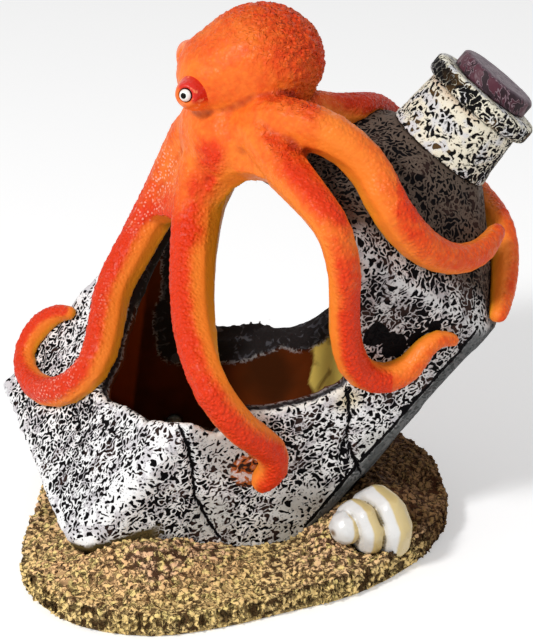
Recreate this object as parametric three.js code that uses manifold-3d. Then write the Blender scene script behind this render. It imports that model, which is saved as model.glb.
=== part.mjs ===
import * as THREE from "three";
import { ConvexGeometry } from "three/addons/geometries/ConvexGeometry.js";
import { mergeVertices } from "three/addons/utils/BufferGeometryUtils.js";
import Module from "manifold-3d";

const wasm = await Module();
wasm.setup();

// Bottle sizes
const sectionWidth = 65;
const sectionDepth = 70;
const bodyLength = 101.5;
const upperEdgeCut = 3;
const rearEdgeCut = 1.2;
const rearEdgeRise = 2;
const rearRiseReach = 0.6;
const lowerEdgeCut = 12;
const footBevel = 3;
const wallThickness = 4.6;
const shoulderLength = 24;
const neckLength = 13.7;
const neckRadius = 14.2;
const neckTopRadius = 12.9;
const collarRadius = 15;
const collarHeight = 4.8;
const collarBevel = 0.8;
const stopperShaftRadius = 8.2;
const stopperShaftLength = 13;
const stopperHeadRadius = 10.7;
const stopperHeadHeight = 4.4;
const stopperBevel = 0.8;
const hewnDepth = 0.5;
const crackWidth = 1.3;
const rearRimFlare = 1.34;

// Bottle place and lean
const footX = -35.4;
const footY = 18.5;
const footZ = -0.3;
const leanAngle = THREE.MathUtils.degToRad(38.5);
const leanTurn = THREE.MathUtils.degToRad(4.3);
const bottleRoll = THREE.MathUtils.degToRad(18.4);

// Sand base sizes
const baseWidth = 108;
const baseDepth = 116;
const sandRise = 16;
const sandFloor = 2.6;
const sandEdgeBevel = 1.6;
const sandGrain = 0.8;
const baseCentreShares = [-0.074, 0.103];

// Octopus sizes
const bulbRadiusX = 15.4;
const bulbRadiusY = 14.6;
const bulbRadiusZ = 13.8;
const faceRadiusX = 9.2;
const faceRadiusY = 12.6;
const faceRadiusZ = 10.4;
const bulbForward = -7.254;
const bulbAbove = 16.681;
const faceForward = 4.146;
const faceAbove = 13.281;
const headBehind = 0.45;
const eyeTilt = 1.9;
const armRootRadius = 7;
const hubRadiusAlong = 14;
const hubRadiusOut = 11.5;
const hubRadiusSide = 16;
const membraneThickness = 5.4;
const crestTaper = 0.16;
const footDepth = 1.38;
const lidRadius = 3.5;
const eyeRadius = 1.75;
const pupilRadius = 0.8;

// Snail shell sizes
const snailPlaceShares = [0.221, -0.117];
const snailHeight = 13.4;
const snailTipRadius = 4.4;
const snailFirstRadius = 2.7;
const snailLastRadius = 4.5;
const snailSwing = 5.8;
const snailRise = 4.8;
const snailDrop = 12.8;

// Air parts sizes
const tubeRadius = 2.2;
const boreRadius = 1.2;
const inletPlaceShares = [-0.241, 0.591];
const tubeHeight = 7.2;
const tubeLength = 44;
const stoneRadius = 4.3;
const stoneLength = 22;
const stoneBevel = 1.2;
const flangeRadius = 4.2;
const flangeThickness = 1.8;
const barbLength = 9;
const barbRadius = 2.5;
const barbWaistRadius = 1.9;

// Fits
const fitGap = 0.3;
const eyeGap = 0.15;

// Traced paths: along, out and side of the bottle axis, then arm radius
const armLeftLoopShares = [
  [0.985, 0.685, -0.172, 1.003],
  [0.948, 0.714, -0.25, 1.003],
  [0.838, 0.646, -0.343, 0.882],
  [0.685, 0.572, -0.38, 0.771],
  [0.549, 0.568, -0.32, 0.715],
  [0.446, 0.569, -0.253, 0.696],
  [0.375, 0.563, -0.133, 0.696],
  [0.311, 0.56, -0.051, 0.669],
  [0.225, 0.557, -0.069, 0.631],
  [0.142, 0.551, -0.178, 0.576],
  [0.097, 0.548, -0.369, 0.501],
  [0.128, 0.554, -0.486, 0.455],
  [0.202, 0.562, -0.503, 0.427],
  [0.261, 0.552, -0.472, 0.353],
  [0.293, 0.545, -0.42, 0.26],
];
const armFrontShares = [
  [0.995, 0.708, -0.128, 1.068],
  [0.926, 0.7, -0.136, 1.031],
  [0.857, 0.677, -0.107, 0.947],
  [0.793, 0.643, -0.085, 0.854],
  [0.71, 0.612, 0.034, 0.789],
  [0.637, 0.588, 0.191, 0.743],
  [0.587, 0.569, 0.371, 0.696],
  [0.547, 0.5, 0.523, 0.659],
  [0.51, 0.32, 0.574, 0.613],
  [0.49, 0.151, 0.557, 0.58],
  [0.45, 0.074, 0.554, 0.54],
  [0.402, 0.062, 0.543, 0.44],
];
const armRightShares = [
  [0.995, 0.708, -0.128, 1.031],
  [1.049, 0.7, 0.058, 0.91],
  [1.034, 0.654, 0.2, 0.799],
  [1.036, 0.608, 0.371, 0.687],
  [1.021, 0.531, 0.493, 0.613],
  [0.966, 0.429, 0.552, 0.576],
  [0.887, 0.314, 0.555, 0.539],
  [0.814, 0.2, 0.555, 0.557],
  [0.77, 0.071, 0.554, 0.576],
  [0.783, -0.049, 0.552, 0.539],
  [0.838, -0.106, 0.55, 0.474],
  [0.895, -0.108, 0.541, 0.39],
  [0.931, -0.135, 0.534, 0.316],
  [0.946, -0.197, 0.527, 0.241],
];
const armShoulderShares = [
  [0.995, 0.708, -0.128, 1.003],
  [1.079, 0.708, 0.029, 0.91],
  [1.143, 0.654, 0.164, 0.799],
  [1.166, 0.546, 0.24, 0.724],
  [1.158, 0.431, 0.307, 0.696],
  [1.125, 0.338, 0.406, 0.687],
  [1.098, 0.197, 0.451, 0.659],
  [1.094, 0.055, 0.453, 0.613],
  [1.114, -0.071, 0.422, 0.539],
  [1.151, -0.163, 0.366, 0.455],
  [1.189, -0.217, 0.299, 0.344],
];
const armNeckShares = [
  [0.995, 0.708, -0.128, 1.003],
  [1.064, 0.662, -0.114, 0.854],
  [1.117, 0.546, -0.107, 0.743],
  [1.154, 0.4, -0.136, 0.659],
  [1.182, 0.313, -0.157, 0.604],
  [1.197, 0.238, -0.2, 0.576],
  [1.202, 0.126, -0.271, 0.557],
  [1.19, 0, -0.307, 0.557],
  [1.184, -0.166, -0.286, 0.557],
  [1.192, -0.295, -0.164, 0.539],
  [1.192, -0.335, 0, 0.529],
  [1.188, -0.345, 0.114, 0.529],
  [1.171, -0.36, 0.191, 0.511],
  [1.143, -0.391, 0.228, 0.501],
  [1.111, -0.394, 0.294, 0.483],
  [1.074, -0.389, 0.367, 0.427],
  [1.043, -0.36, 0.449, 0.316],
];
const armRearLeftShares = [
  [0.995, 0.708, -0.128, 1.003],
  [0.955, 0.662, -0.314, 0.854],
  [0.916, 0.585, -0.472, 0.743],
  [0.842, 0.469, -0.557, 0.669],
  [0.729, 0.385, -0.568, 0.631],
  [0.591, 0.338, -0.562, 0.604],
  [0.453, 0.308, -0.557, 0.557],
  [0.345, 0.215, -0.552, 0.501],
  [0.276, 0.092, -0.547, 0.427],
  [0.236, -0.015, -0.54, 0.353],
  [0.266, -0.108, -0.531, 0.26],
];
const armRearRightShares = [
  [0.995, 0.708, -0.128, 1.003],
  [1.064, 0.631, -0.271, 0.854],
  [1.094, 0.492, -0.407, 0.743],
  [1.074, 0.338, -0.5, 0.669],
  [1.025, 0.154, -0.557, 0.641],
  [0.995, -0.046, -0.562, 0.613],
  [0.966, -0.231, -0.56, 0.576],
  [0.916, -0.4, -0.536, 0.511],
  [0.847, -0.514, -0.443, 0.446],
  [0.768, -0.554, -0.336, 0.371],
  [0.71, -0.542, -0.236, 0.288],
];
const armRearMiddleShares = [
  [0.995, 0.708, -0.128, 1.003],
  [1.02, 0.677, -0.257, 0.854],
  [1.01, 0.6, -0.407, 0.715],
  [0.981, 0.485, -0.528, 0.641],
  [0.946, 0.369, -0.566, 0.585],
  [0.913, 0.262, -0.563, 0.511],
  [0.898, 0.154, -0.554, 0.427],
  [0.906, 0.052, -0.546, 0.344],
  [0.926, -0.028, -0.537, 0.241],
];
const hubPlaceShares = [0.986, 0.68, -0.158];

// Traced break outlines on three faces: along the bottle, then across the face
const upperBreakShares = [
  [0.468, 0.6],
  [0.453, 0.5],
  [0.404, 0.443],
  [0.347, 0.343],
  [0.32, 0.207],
  [0.291, 0.128],
  [0.272, 0.074],
  [0.261, 0.014],
  [0.284, -0.023],
  [0.311, -0.037],
  [0.35, -0.064],
  [0.394, -0.136],
  [0.453, -0.214],
  [0.522, -0.279],
  [0.591, -0.329],
  [0.66, -0.364],
  [0.739, -0.371],
  [0.808, -0.358],
  [0.867, -0.286],
  [0.911, -0.157],
  [0.941, 0],
  [0.961, 0.172],
  [0.975, 0.314],
  [0.985, 0.429],
  [0.99, 0.6],
];
const frontBreakShares = [
  [0.468, 0.646],
  [0.468, 0.486],
  [0.475, 0.457],
  [0.492, 0.442],
  [0.514, 0.385],
  [0.526, 0.326],
  [0.545, 0.258],
  [0.567, 0.198],
  [0.607, 0.126],
  [0.644, 0.071],
  [0.699, 0.017],
  [0.729, 0.025],
  [0.759, 0.077],
  [0.808, 0.169],
  [0.867, 0.269],
  [0.926, 0.346],
  [0.975, 0.431],
  [0.99, 0.646],
];
const rearBreakShares = [
  [0.403, -0.005],
  [0.444, -0.083],
  [0.473, -0.162],
  [0.5, -0.225],
  [0.53, -0.303],
  [0.555, -0.372],
  [0.618, -0.4],
  [0.668, -0.415],
  [0.729, -0.415],
  [0.813, -0.369],
  [0.882, -0.171],
  [0.891, 0.015],
  [0.855, 0.208],
  [0.783, 0.315],
  [0.71, 0.285],
  [0.644, 0.251],
  [0.571, 0.185],
  [0.508, 0.132],
  [0.453, 0.062],
];

// Traced cracks on the bottle faces
const crackOneShares = [
  [0.414, 0.471, 0.48],
  [0.406, 0.446, 0.5],
  [0.381, 0.388, 0.5],
  [0.339, 0.317, 0.5],
  [0.28, 0.232, 0.5],
  [0.243, 0.132, 0.5],
  [0.208, 0.018, 0.5],
];
const crackTwoShares = [
  [0.704, 0.006, 0.5],
  [0.637, -0.098, 0.5],
  [0.598, -0.137, 0.5],
  [0.531, -0.194, 0.5],
];
const crackThreeShares = [
  [0.598, -0.137, 0.5],
  [0.562, -0.215, 0.5],
  [0.531, -0.305, 0.5],
];
const crackFourShares = [
  [0.296, 0.5, -0.029],
  [0.236, 0.5, -0.05],
  [0.178, 0.5, -0.06],
  [0.163, 0.5, 0.067],
];

// Sand base outline, and its height at traced places
const baseOutlineShares = [
  [-0.255, -0.389],
  [-0.093, -0.354],
  [0.046, -0.298],
  [0.189, -0.237],
  [0.296, -0.155],
  [0.384, -0.053],
  [0.435, 0.077],
  [0.426, 0.173],
  [0.352, 0.31],
  [0.222, 0.44],
  [0.055, 0.543],
  [-0.129, 0.608],
  [-0.315, 0.599],
  [-0.454, 0.5],
  [-0.519, 0.345],
  [-0.542, 0.181],
  [-0.551, 0.026],
  [-0.565, -0.104],
  [-0.542, -0.224],
  [-0.43, -0.345],
];
const sandHeightShares = [
  [-0.444, -0.207, 0.719],
  [-0.352, -0.216, 0.845],
  [-0.306, -0.198, 0.967],
  [-0.232, -0.164, 0.812],
  [-0.153, -0.138, 0.613],
  [-0.037, -0.095, 0.349],
  [0.055, -0.069, 0.264],
  [0.102, -0.069, 0.5],
  [0.148, -0.069, 0.845],
  [0.203, -0.035, 0.999],
  [0.278, 0.052, 0.98],
  [0.333, 0.173, 0.87],
  [0.315, 0.293, 0.812],
  [-0.519, 0, 0.5],
  [-0.537, 0.259, 0.561],
  [-0.37, -0.328, 0.406],
  [-0.185, -0.345, 0.374],
  [0, -0.276, 0.345],
  [0.185, -0.189, 0.467],
  [0.241, -0.155, 0.5],
  [0.333, -0.069, 0.532],
  [0.407, 0.086, 0.467],
  [-0.241, 0.552, 0.845],
  [0, 0.517, 0.561],
  [-0.416, 0.483, 0.626],
  [0.185, 0.397, 0.626],
  [-0.556, -0.173, 0.374],
];

// Shape steps
const ringSteps = 10;
const sweepStepsPerPoint = 2;
const flatSteps = 3;
const toothSpacing = 7;
const edgeSteps = 1;
const sandSpokes = 64;
const sandRings = 8;

const weldShare = 2e-5;
const tidyShare = 3e-4;
const span = sectionWidth;
const bodyRise = bodyLength + shoulderLength;
const boreInNeck = stopperShaftRadius + fitGap;

// Axes of the leaning bottle
const uprightAlong = new THREE.Vector3(
  Math.sin(leanAngle) * Math.cos(leanTurn),
  Math.sin(leanAngle) * Math.sin(leanTurn),
  Math.cos(leanAngle),
);
const unrolledDown = new THREE.Vector3(
  Math.cos(leanAngle) * Math.cos(leanTurn),
  Math.cos(leanAngle) * Math.sin(leanTurn),
  -Math.sin(leanAngle),
);
const unrolledFront = new THREE.Vector3(Math.sin(leanTurn), -Math.cos(leanTurn), 0);
const frontAxis = unrolledFront
  .clone()
  .multiplyScalar(Math.cos(bottleRoll))
  .addScaledVector(unrolledDown, Math.sin(bottleRoll));
const upperAxis = unrolledFront
  .clone()
  .multiplyScalar(Math.sin(bottleRoll))
  .addScaledVector(unrolledDown, -Math.cos(bottleRoll));
const bottleFrame = new THREE.Matrix4()
  .makeBasis(uprightAlong, upperAxis, frontAxis)
  .setPosition(footX, footY, footZ);
function onBottle(along, out, side) {
  return new THREE.Vector3(along, out, side).applyMatrix4(bottleFrame);
}

// Rows of shares turned into lengths, each column by its own size
function sized(shares, sizes) {
  return shares.map((row) => row.map((value, column) => value * sizes[column]));
}
const bottleSizes = [bodyLength, sectionWidth, sectionDepth];
const armSizes = [...bottleSizes, armRootRadius];
const baseSizes = [baseWidth, baseDepth, sandRise];
const [hubPlace] = sized([hubPlaceShares], bottleSizes);
const hubCentre = onBottle(...hubPlace);
const [[inletX, seatY], [snailX, snailY], [baseCentreX, baseCentreY]] = sized(
  [inletPlaceShares, snailPlaceShares, baseCentreShares],
  baseSizes,
);

// A closed solid from a three.js geometry
function solid(geometry) {
  const bare = geometry.clone();
  bare.deleteAttribute("normal");
  bare.deleteAttribute("uv");
  const merged = mergeVertices(bare, weldShare * span);
  return new wasm.Manifold(
    new wasm.Mesh({
      numProp: 3,
      vertProperties: merged.attributes.position.array,
      triVerts: new Uint32Array(merged.index.array),
    }),
  );
}

// A three.js geometry from a closed solid
function geometryOf(body) {
  const mesh = body.getMesh();
  const corners = new Float32Array(mesh.numVert * 3);
  for (let i = 0; i < mesh.numVert; i++) {
    const at = i * mesh.numProp;
    corners.set(mesh.vertProperties.subarray(at, at + 3), i * 3);
  }
  const geometry = new THREE.BufferGeometry();
  geometry.setAttribute("position", new THREE.BufferAttribute(corners, 3));
  geometry.setIndex(new THREE.BufferAttribute(new Uint32Array(mesh.triVerts), 1));
  geometry.computeVertexNormals();
  return geometry;
}

// A skin over a row of closed rings, capped at both ends
function loft(rings, headPoint, tailPoint) {
  const count = rings[0].length;
  const places = [];
  const faces = [];
  rings.forEach((ring) => ring.forEach((p) => places.push(p.x, p.y, p.z)));
  for (let r = 0; r + 1 < rings.length; r++) {
    for (let i = 0; i < count; i++) {
      const a = r * count + i;
      const b = r * count + ((i + 1) % count);
      faces.push(a, b, b + count, a, b + count, a + count);
    }
  }
  const ends = [
    [0, headPoint, true],
    [rings.length - 1, tailPoint, false],
  ];
  for (const [r, point, flip] of ends) {
    const tip = point || middleOf(rings[r]);
    const hub = places.length / 3;
    places.push(tip.x, tip.y, tip.z);
    for (let i = 0; i < count; i++) {
      const a = r * count + i;
      const b = r * count + ((i + 1) % count);
      faces.push(...(flip ? [b, a, hub] : [a, b, hub]));
    }
  }
  const geometry = new THREE.BufferGeometry();
  geometry.setAttribute("position", new THREE.Float32BufferAttribute(places, 3));
  geometry.setIndex(faces);
  const made = solid(geometry);
  return made.volume() < 0 ? solid(turnedInsideOut(geometry)) : made;
}

function turnedInsideOut(geometry) {
  const turned = geometry.clone();
  const order = turned.index.array;
  for (let i = 0; i < order.length; i += 3) {
    const kept = order[i + 1];
    order[i + 1] = order[i + 2];
    order[i + 2] = kept;
  }
  return turned;
}

function middleOf(ring) {
  const sum = new THREE.Vector3();
  ring.forEach((p) => sum.add(p));
  return sum.divideScalar(ring.length);
}

// Even but unruly values between -1 and 1 from a place
function unruly(x, y, z) {
  const wave = Math.sin(x * 127.1 + y * 311.7 + z * 74.7) * 43758.5453;
  return (wave - Math.floor(wave)) * 2 - 1;
}

function union(bodies) {
  return bodies.reduce((sum, body) => sum.add(body));
}

function without(body, tools) {
  return tools.reduce((rest, tool) => rest.subtract(tool), body);
}

function biggestPiece(body) {
  const pieces = body.decompose();
  return pieces.reduce((best, one) => (one.volume() > best.volume() ? one : best));
}

// The same body without the needle faces that cuts leave behind
function tidied(body) {
  return biggestPiece(solid(geometryOf(body.simplify(tidyShare * span))));
}

function boxSolid(sizeX, sizeY, sizeZ, x, y, z) {
  return solid(new THREE.BoxGeometry(sizeX, sizeY, sizeZ).translate(x, y, z));
}

function ellipsoidPoints(radii, centre, around, down) {
  const ball = new THREE.SphereGeometry(1, around, down);
  ball.scale(radii.x, radii.y, radii.z);
  ball.translate(centre.x, centre.y, centre.z);
  const list = [];
  const place = ball.attributes.position;
  for (let i = 0; i < place.count; i++) {
    list.push(new THREE.Vector3().fromBufferAttribute(place, i));
  }
  return list;
}

function ballSolid(radius, centre, around, down) {
  const ball = new THREE.SphereGeometry(radius, around, down);
  ball.translate(centre.x, centre.y, centre.z);
  return solid(ball);
}

// Outline of the bottle at one station, from an edge-cut oblong to a round neck
function bottleRing(along, station, halfOut, halfSide, roundness, roundRadius, hewn, bevel = 0) {
  const front = halfSide - bevel;
  const raised = rearEdgeRise * Math.max(0, 1 - along / (bodyLength * rearRiseReach));
  const corners = [
    [halfOut, front - upperEdgeCut],
    [halfOut - upperEdgeCut, front],
    [lowerEdgeCut - halfOut, front],
    [-halfOut, front - lowerEdgeCut],
    [-halfOut, lowerEdgeCut - halfSide],
    [lowerEdgeCut - halfOut, -halfSide],
    [halfOut + raised - rearEdgeCut, -halfSide],
    [halfOut + raised, rearEdgeCut - halfSide],
  ];
  const ring = [];
  corners.forEach((from, k) => {
    const to = corners[(k + 1) % corners.length];
    const steps = k % 2 ? flatSteps : edgeSteps;
    for (let i = 0; i < steps; i++) {
      const t = i / steps;
      const out = from[0] + (to[0] - from[0]) * t;
      const side = from[1] + (to[1] - from[1]) * t;
      const reach = Math.hypot(out, side);
      const grown = reach + (roundRadius - reach) * roundness;
      const rough = hewn * unruly(station, k, i) * (1 - roundness);
      const scale = (grown + rough) / reach;
      ring.push(onBottle(along, out * scale, side * scale));
    }
  });
  return ring;
}

// The bottle body and shoulder as one solid, made larger or smaller by grow
function bottleBody(grow, neckEndRadius, start, hewn) {
  const rings = [];
  const halfOut = sectionWidth / 2 + grow;
  const halfSide = sectionDepth / 2 + grow;
  const bodyStations = 6;
  const shoulderStations = 4;
  rings.push(bottleRing(start, 0, halfOut, halfSide, 0, neckEndRadius, 0, footBevel));
  for (let i = 0; i <= bodyStations; i++) {
    const first = i ? start : start + footBevel;
    const along = first + ((bodyLength - first) * i) / bodyStations;
    const rough = i > 0 && i < bodyStations ? hewn : 0;
    rings.push(bottleRing(along, i, halfOut, halfSide, 0, neckEndRadius, rough));
  }
  for (let i = 1; i <= shoulderStations; i++) {
    const t = i / shoulderStations;
    const along = bodyLength + shoulderLength * t;
    rings.push(bottleRing(along, i, halfOut, halfSide, t, neckEndRadius, 0));
  }
  return loft(rings);
}

function turnedOnBottle(profile, segments) {
  const points = profile.map(([radius, along]) => new THREE.Vector2(radius, along));
  const lathe = new THREE.LatheGeometry(points, segments);
  lathe.rotateZ(-Math.PI / 2);
  lathe.applyMatrix4(bottleFrame);
  const made = solid(lathe);
  return made.volume() < 0 ? solid(turnedInsideOut(mergeVertices(lathe))) : made;
}

// A broken outline with small teeth between its traced corners
function ragged(corners, depth) {
  const out = [];
  corners.forEach(([x, y], i) => {
    const [nextX, nextY] = corners[(i + 1) % corners.length];
    out.push([x, y]);
    const length = Math.hypot(nextX - x, nextY - y);
    const steps = Math.max(1, Math.round(length / (depth * toothSpacing)));
    for (let k = 1; k < steps; k++) {
      const t = k / steps;
      const push = depth * unruly(i, k, 0.3);
      const normalX = (nextY - y) / length;
      const normalY = (x - nextX) / length;
      out.push([x + (nextX - x) * t + normalX * push, y + (nextY - y) * t + normalY * push]);
    }
  });
  return out;
}

// A cut through one face of the bottle: the outline at each depth, wider by flare
function breakTool(corners, placeAt, stations) {
  const middle = corners.reduce((sum, [a, b]) => [sum[0] + a, sum[1] + b], [0, 0]);
  const centreAlong = middle[0] / corners.length;
  const centreAcross = middle[1] / corners.length;
  const limit = sectionWidth / 2 - wallThickness;
  const rings = stations.map(([depth, flare]) =>
    corners.map(([along, across]) => {
      const wide = centreAcross + (across - centreAcross) * flare;
      const kept = flare > 1 ? THREE.MathUtils.clamp(wide, -limit, limit) : wide;
      return placeAt(centreAlong + (along - centreAlong) * flare, kept, depth);
    }),
  );
  return loft(rings);
}
const onUpperFace = (along, across, depth) => onBottle(along, depth, across);
const onFrontFace = (along, across, depth) => onBottle(along, across, depth);

// Outward direction of the bottle surface near a place in the bottle frame
function outwardAt(along, out, side) {
  const outShare = out / (sectionWidth / 2);
  const sideShare = side / (sectionDepth / 2);
  const sharpness = 5;
  const past = Math.max(0, along - bodyLength) / shoulderLength;
  return new THREE.Vector3(
    Math.min(1, past * 2) * 0.7,
    Math.sign(outShare) * Math.pow(Math.abs(outShare), sharpness),
    Math.sign(sideShare) * Math.pow(Math.abs(sideShare), sharpness),
  )
    .normalize()
    .transformDirection(bottleFrame);
}

// Rounded arm section: broad flanks, a crest outside and a flatter foot
function armRing(centre, tangent, outward, radius) {
  const flank = new THREE.Vector3().crossVectors(tangent, outward).normalize();
  const crest = new THREE.Vector3().crossVectors(flank, tangent).normalize();
  const ring = [];
  for (let i = 0; i < ringSteps; i++) {
    const angle = (i / ringSteps) * Math.PI * 2;
    const across = Math.cos(angle);
    const high = Math.sin(angle);
    const width = radius * (high > 0 ? 1 - crestTaper * high : 1);
    const height = radius * (high > 0 ? 1 : footDepth);
    ring.push(
      centre.clone().addScaledVector(flank, across * width).addScaledVector(crest, high * height),
    );
  }
  return ring;
}

// The smooth middle line of an arm through its traced places
function armCurve(rows) {
  const places = rows.map(([along, out, side]) => onBottle(along, out, side));
  return new THREE.CatmullRomCurve3(places, false, "centripetal");
}

// One octopus arm between two places of its path, made larger by grow
function armBody(table, from, to, grow) {
  const rows = sized(table, armSizes);
  const curve = armCurve(rows);
  const outwards = rows.map(([along, out, side]) => outwardAt(along, out, side));
  const last = rows.length - 1;
  const steps = Math.max(3, Math.round((to - from) * sweepStepsPerPoint));
  const rings = [];
  for (let i = 0; i <= steps; i++) {
    const at = from + ((to - from) * i) / steps;
    const k = Math.min(last - 1, Math.floor(at));
    const t = at - k;
    const radius = rows[k][3] + (rows[k + 1][3] - rows[k][3]) * t + grow;
    const outward = outwards[k].clone().lerp(outwards[k + 1], t).normalize();
    const point = curve.getPoint(at / last);
    const tangent = curve.getTangent(at / last);
    rings.push(armRing(point, tangent, outward, radius));
  }
  if (to < last) return loft(rings);
  const endPoint = curve.getPoint(1);
  const endTangent = curve.getTangent(1);
  const endRadius = rows[last][3] + grow;
  const outward = outwards[last];
  const neck = endPoint.clone().addScaledVector(endTangent, endRadius * 0.55);
  rings.push(armRing(neck, endTangent, outward, endRadius * 0.78));
  return loft(rings, null, endPoint.clone().addScaledVector(endTangent, endRadius));
}

// The thin web between two neighbouring arms, arched at its lower edge
function membrane(tableA, tableB, reachA, reachB, arch) {
  const curveA = armCurve(sized(tableA, armSizes));
  const curveB = armCurve(sized(tableB, armSizes));
  const toBottle = bottleFrame.clone().invert();
  const across = 6;
  const down = 5;
  const rings = [];
  for (let i = 0; i <= across; i++) {
    const s = i / across;
    const sag = 1 - arch * Math.sin(Math.PI * s);
    const upper = [];
    const lower = [];
    for (let j = 0; j <= down; j++) {
      const t = (j / down) * sag;
      const pointA = curveA.getPoint((t * reachA) / (tableA.length - 1));
      const pointB = curveB.getPoint((t * reachB) / (tableB.length - 1));
      const point = pointA.lerp(pointB, s);
      const local = point.clone().applyMatrix4(toBottle);
      const outward = outwardAt(local.x, local.y, local.z);
      const half = (membraneThickness * (2 - j / down)) / 2;
      upper.push(point.clone().addScaledVector(outward, half));
      lower.unshift(point.clone().addScaledVector(outward, -half));
    }
    rings.push([...upper, ...lower]);
  }
  return loft(rings);
}

// Bottle shell with its broken front and back
const bottleGrown = bottleBody(fitGap, neckRadius + fitGap, -fitGap, hewnDepth);
const bottleSolid = bottleBody(0, neckRadius, 0, hewnDepth);
const cavity = bottleBody(-wallThickness, boreInNeck, wallThickness, 0);
const cavityMouth = turnedOnBottle(
  [
    [0, bodyRise - wallThickness],
    [boreInNeck, bodyRise - wallThickness],
    [boreInNeck, bodyRise + wallThickness],
    [0, bodyRise + wallThickness],
  ],
  40,
);
const acrossUpper = [bodyLength, sectionDepth];
const acrossFront = [bodyLength, sectionWidth];
const upperBreak = ragged(sized(upperBreakShares, acrossUpper), hewnDepth);
const frontBreak = ragged(sized(frontBreakShares, acrossFront), hewnDepth);
const rearBreak = ragged(sized(rearBreakShares, acrossFront), hewnDepth);
const middleDepth = sectionDepth * 0.3;
const rimDepth = sectionDepth / 2 - wallThickness * 0.95;
const breakTools = [
  breakTool(upperBreak, onUpperFace, [[sectionWidth, 1], [middleDepth, 1]]),
  breakTool(frontBreak, onFrontFace, [[sectionDepth, 1], [middleDepth, 1]]),
  breakTool(rearBreak, onFrontFace, [[-middleDepth, 1], [-sectionDepth, 1]]),
  breakTool(rearBreak, onFrontFace, [[-rimDepth, rearRimFlare], [-sectionDepth * 0.51, 1]]),
];
const cracks = [crackOneShares, crackTwoShares, crackThreeShares, crackFourShares].map((shares) => {
  const rows = sized(shares, bottleSizes);
  const places = rows.map(([along, out, side]) => onBottle(along, out, side));
  const rings = places.map((place, i) => {
    const before = places[Math.max(0, i - 1)];
    const after = places[Math.min(places.length - 1, i + 1)];
    const tangent = after.clone().sub(before).normalize();
    const outward = outwardAt(...rows[i]);
    const flank = new THREE.Vector3().crossVectors(tangent, outward).normalize();
    const width = crackWidth * (1 + 0.35 * unruly(i, 2, 5)) * 0.5;
    return [
      place.clone().addScaledVector(outward, crackWidth).addScaledVector(flank, width * 2),
      place.clone().addScaledVector(outward, crackWidth).addScaledVector(flank, -width * 2),
      place.clone().addScaledVector(outward, -crackWidth),
    ];
  });
  return loft(rings);
});
const groundCut = boxSolid(
  span * 4,
  span * 4,
  span * 2,
  0,
  0,
  sandFloor + fitGap - span,
);
const tubePassage = solid(
  new THREE.CylinderGeometry(tubeRadius + fitGap, tubeRadius + fitGap, span, 24).translate(
    inletX,
    seatY - span * 0.4,
    tubeHeight,
  ),
);
const bottleShell = biggestPiece(
  without(bottleSolid, [
    cavity,
    cavityMouth,
    ...breakTools,
    groundCut,
    tubePassage,
    ...cracks,
  ]),
);

// Neck, collar and stopper, turned about the bottle axis
const neckStart = bodyRise + fitGap;
const neckEnd = neckStart + neckLength;
const collarStart = neckEnd + fitGap;
const collarEnd = collarStart + collarHeight;
const headStart = collarEnd + fitGap;
const headEnd = headStart + stopperHeadHeight;
const neckSolid = turnedOnBottle(
  [
    [boreInNeck, neckStart],
    [neckRadius, neckStart],
    [neckRadius - collarBevel * 0.7, neckStart + neckLength * 0.25],
    [neckTopRadius, neckEnd],
    [boreInNeck, neckEnd],
    [boreInNeck, neckStart],
  ],
  28,
);
const collarSolid = turnedOnBottle(
  [
    [boreInNeck, collarStart],
    [collarRadius - collarBevel * 0.6, collarStart],
    [collarRadius, collarStart + collarBevel * 0.8],
    [collarRadius, collarEnd - collarBevel],
    [collarRadius - collarBevel, collarEnd],
    [boreInNeck, collarEnd],
    [boreInNeck, collarStart],
  ],
  28,
);
const stopperSolid = turnedOnBottle(
  [
    [0, headStart - stopperShaftLength],
    [stopperShaftRadius - stopperBevel, headStart - stopperShaftLength],
    [stopperShaftRadius, headStart - stopperShaftLength + stopperBevel],
    [stopperShaftRadius, headStart],
    [stopperHeadRadius, headStart],
    [stopperHeadRadius, headEnd - stopperBevel],
    [stopperHeadRadius - stopperBevel, headEnd],
    [0, headEnd],
  ],
  28,
);
const neckKeepOut = turnedOnBottle(
  [
    [0, bodyRise - neckLength],
    [neckRadius + fitGap, bodyRise - neckLength],
    [neckRadius + fitGap, neckEnd],
    [0, neckEnd],
  ],
  28,
);

// Octopus head: a large mantle bulb drawn out to a blunt face
const bulbCentre = new THREE.Vector3(-bulbForward, headBehind, bulbAbove).add(hubCentre);
const faceCentre = new THREE.Vector3(-faceForward, headBehind, faceAbove).add(hubCentre);
function headSolid(grow) {
  const bulb = ellipsoidPoints(
    new THREE.Vector3(bulbRadiusX + grow, bulbRadiusY + grow, bulbRadiusZ + grow),
    bulbCentre,
    22,
    14,
  );
  const face = ellipsoidPoints(
    new THREE.Vector3(faceRadiusX + grow, faceRadiusY + grow, faceRadiusZ + grow),
    faceCentre,
    18,
    12,
  );
  return solid(new ConvexGeometry([...bulb, ...face]));
}

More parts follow.
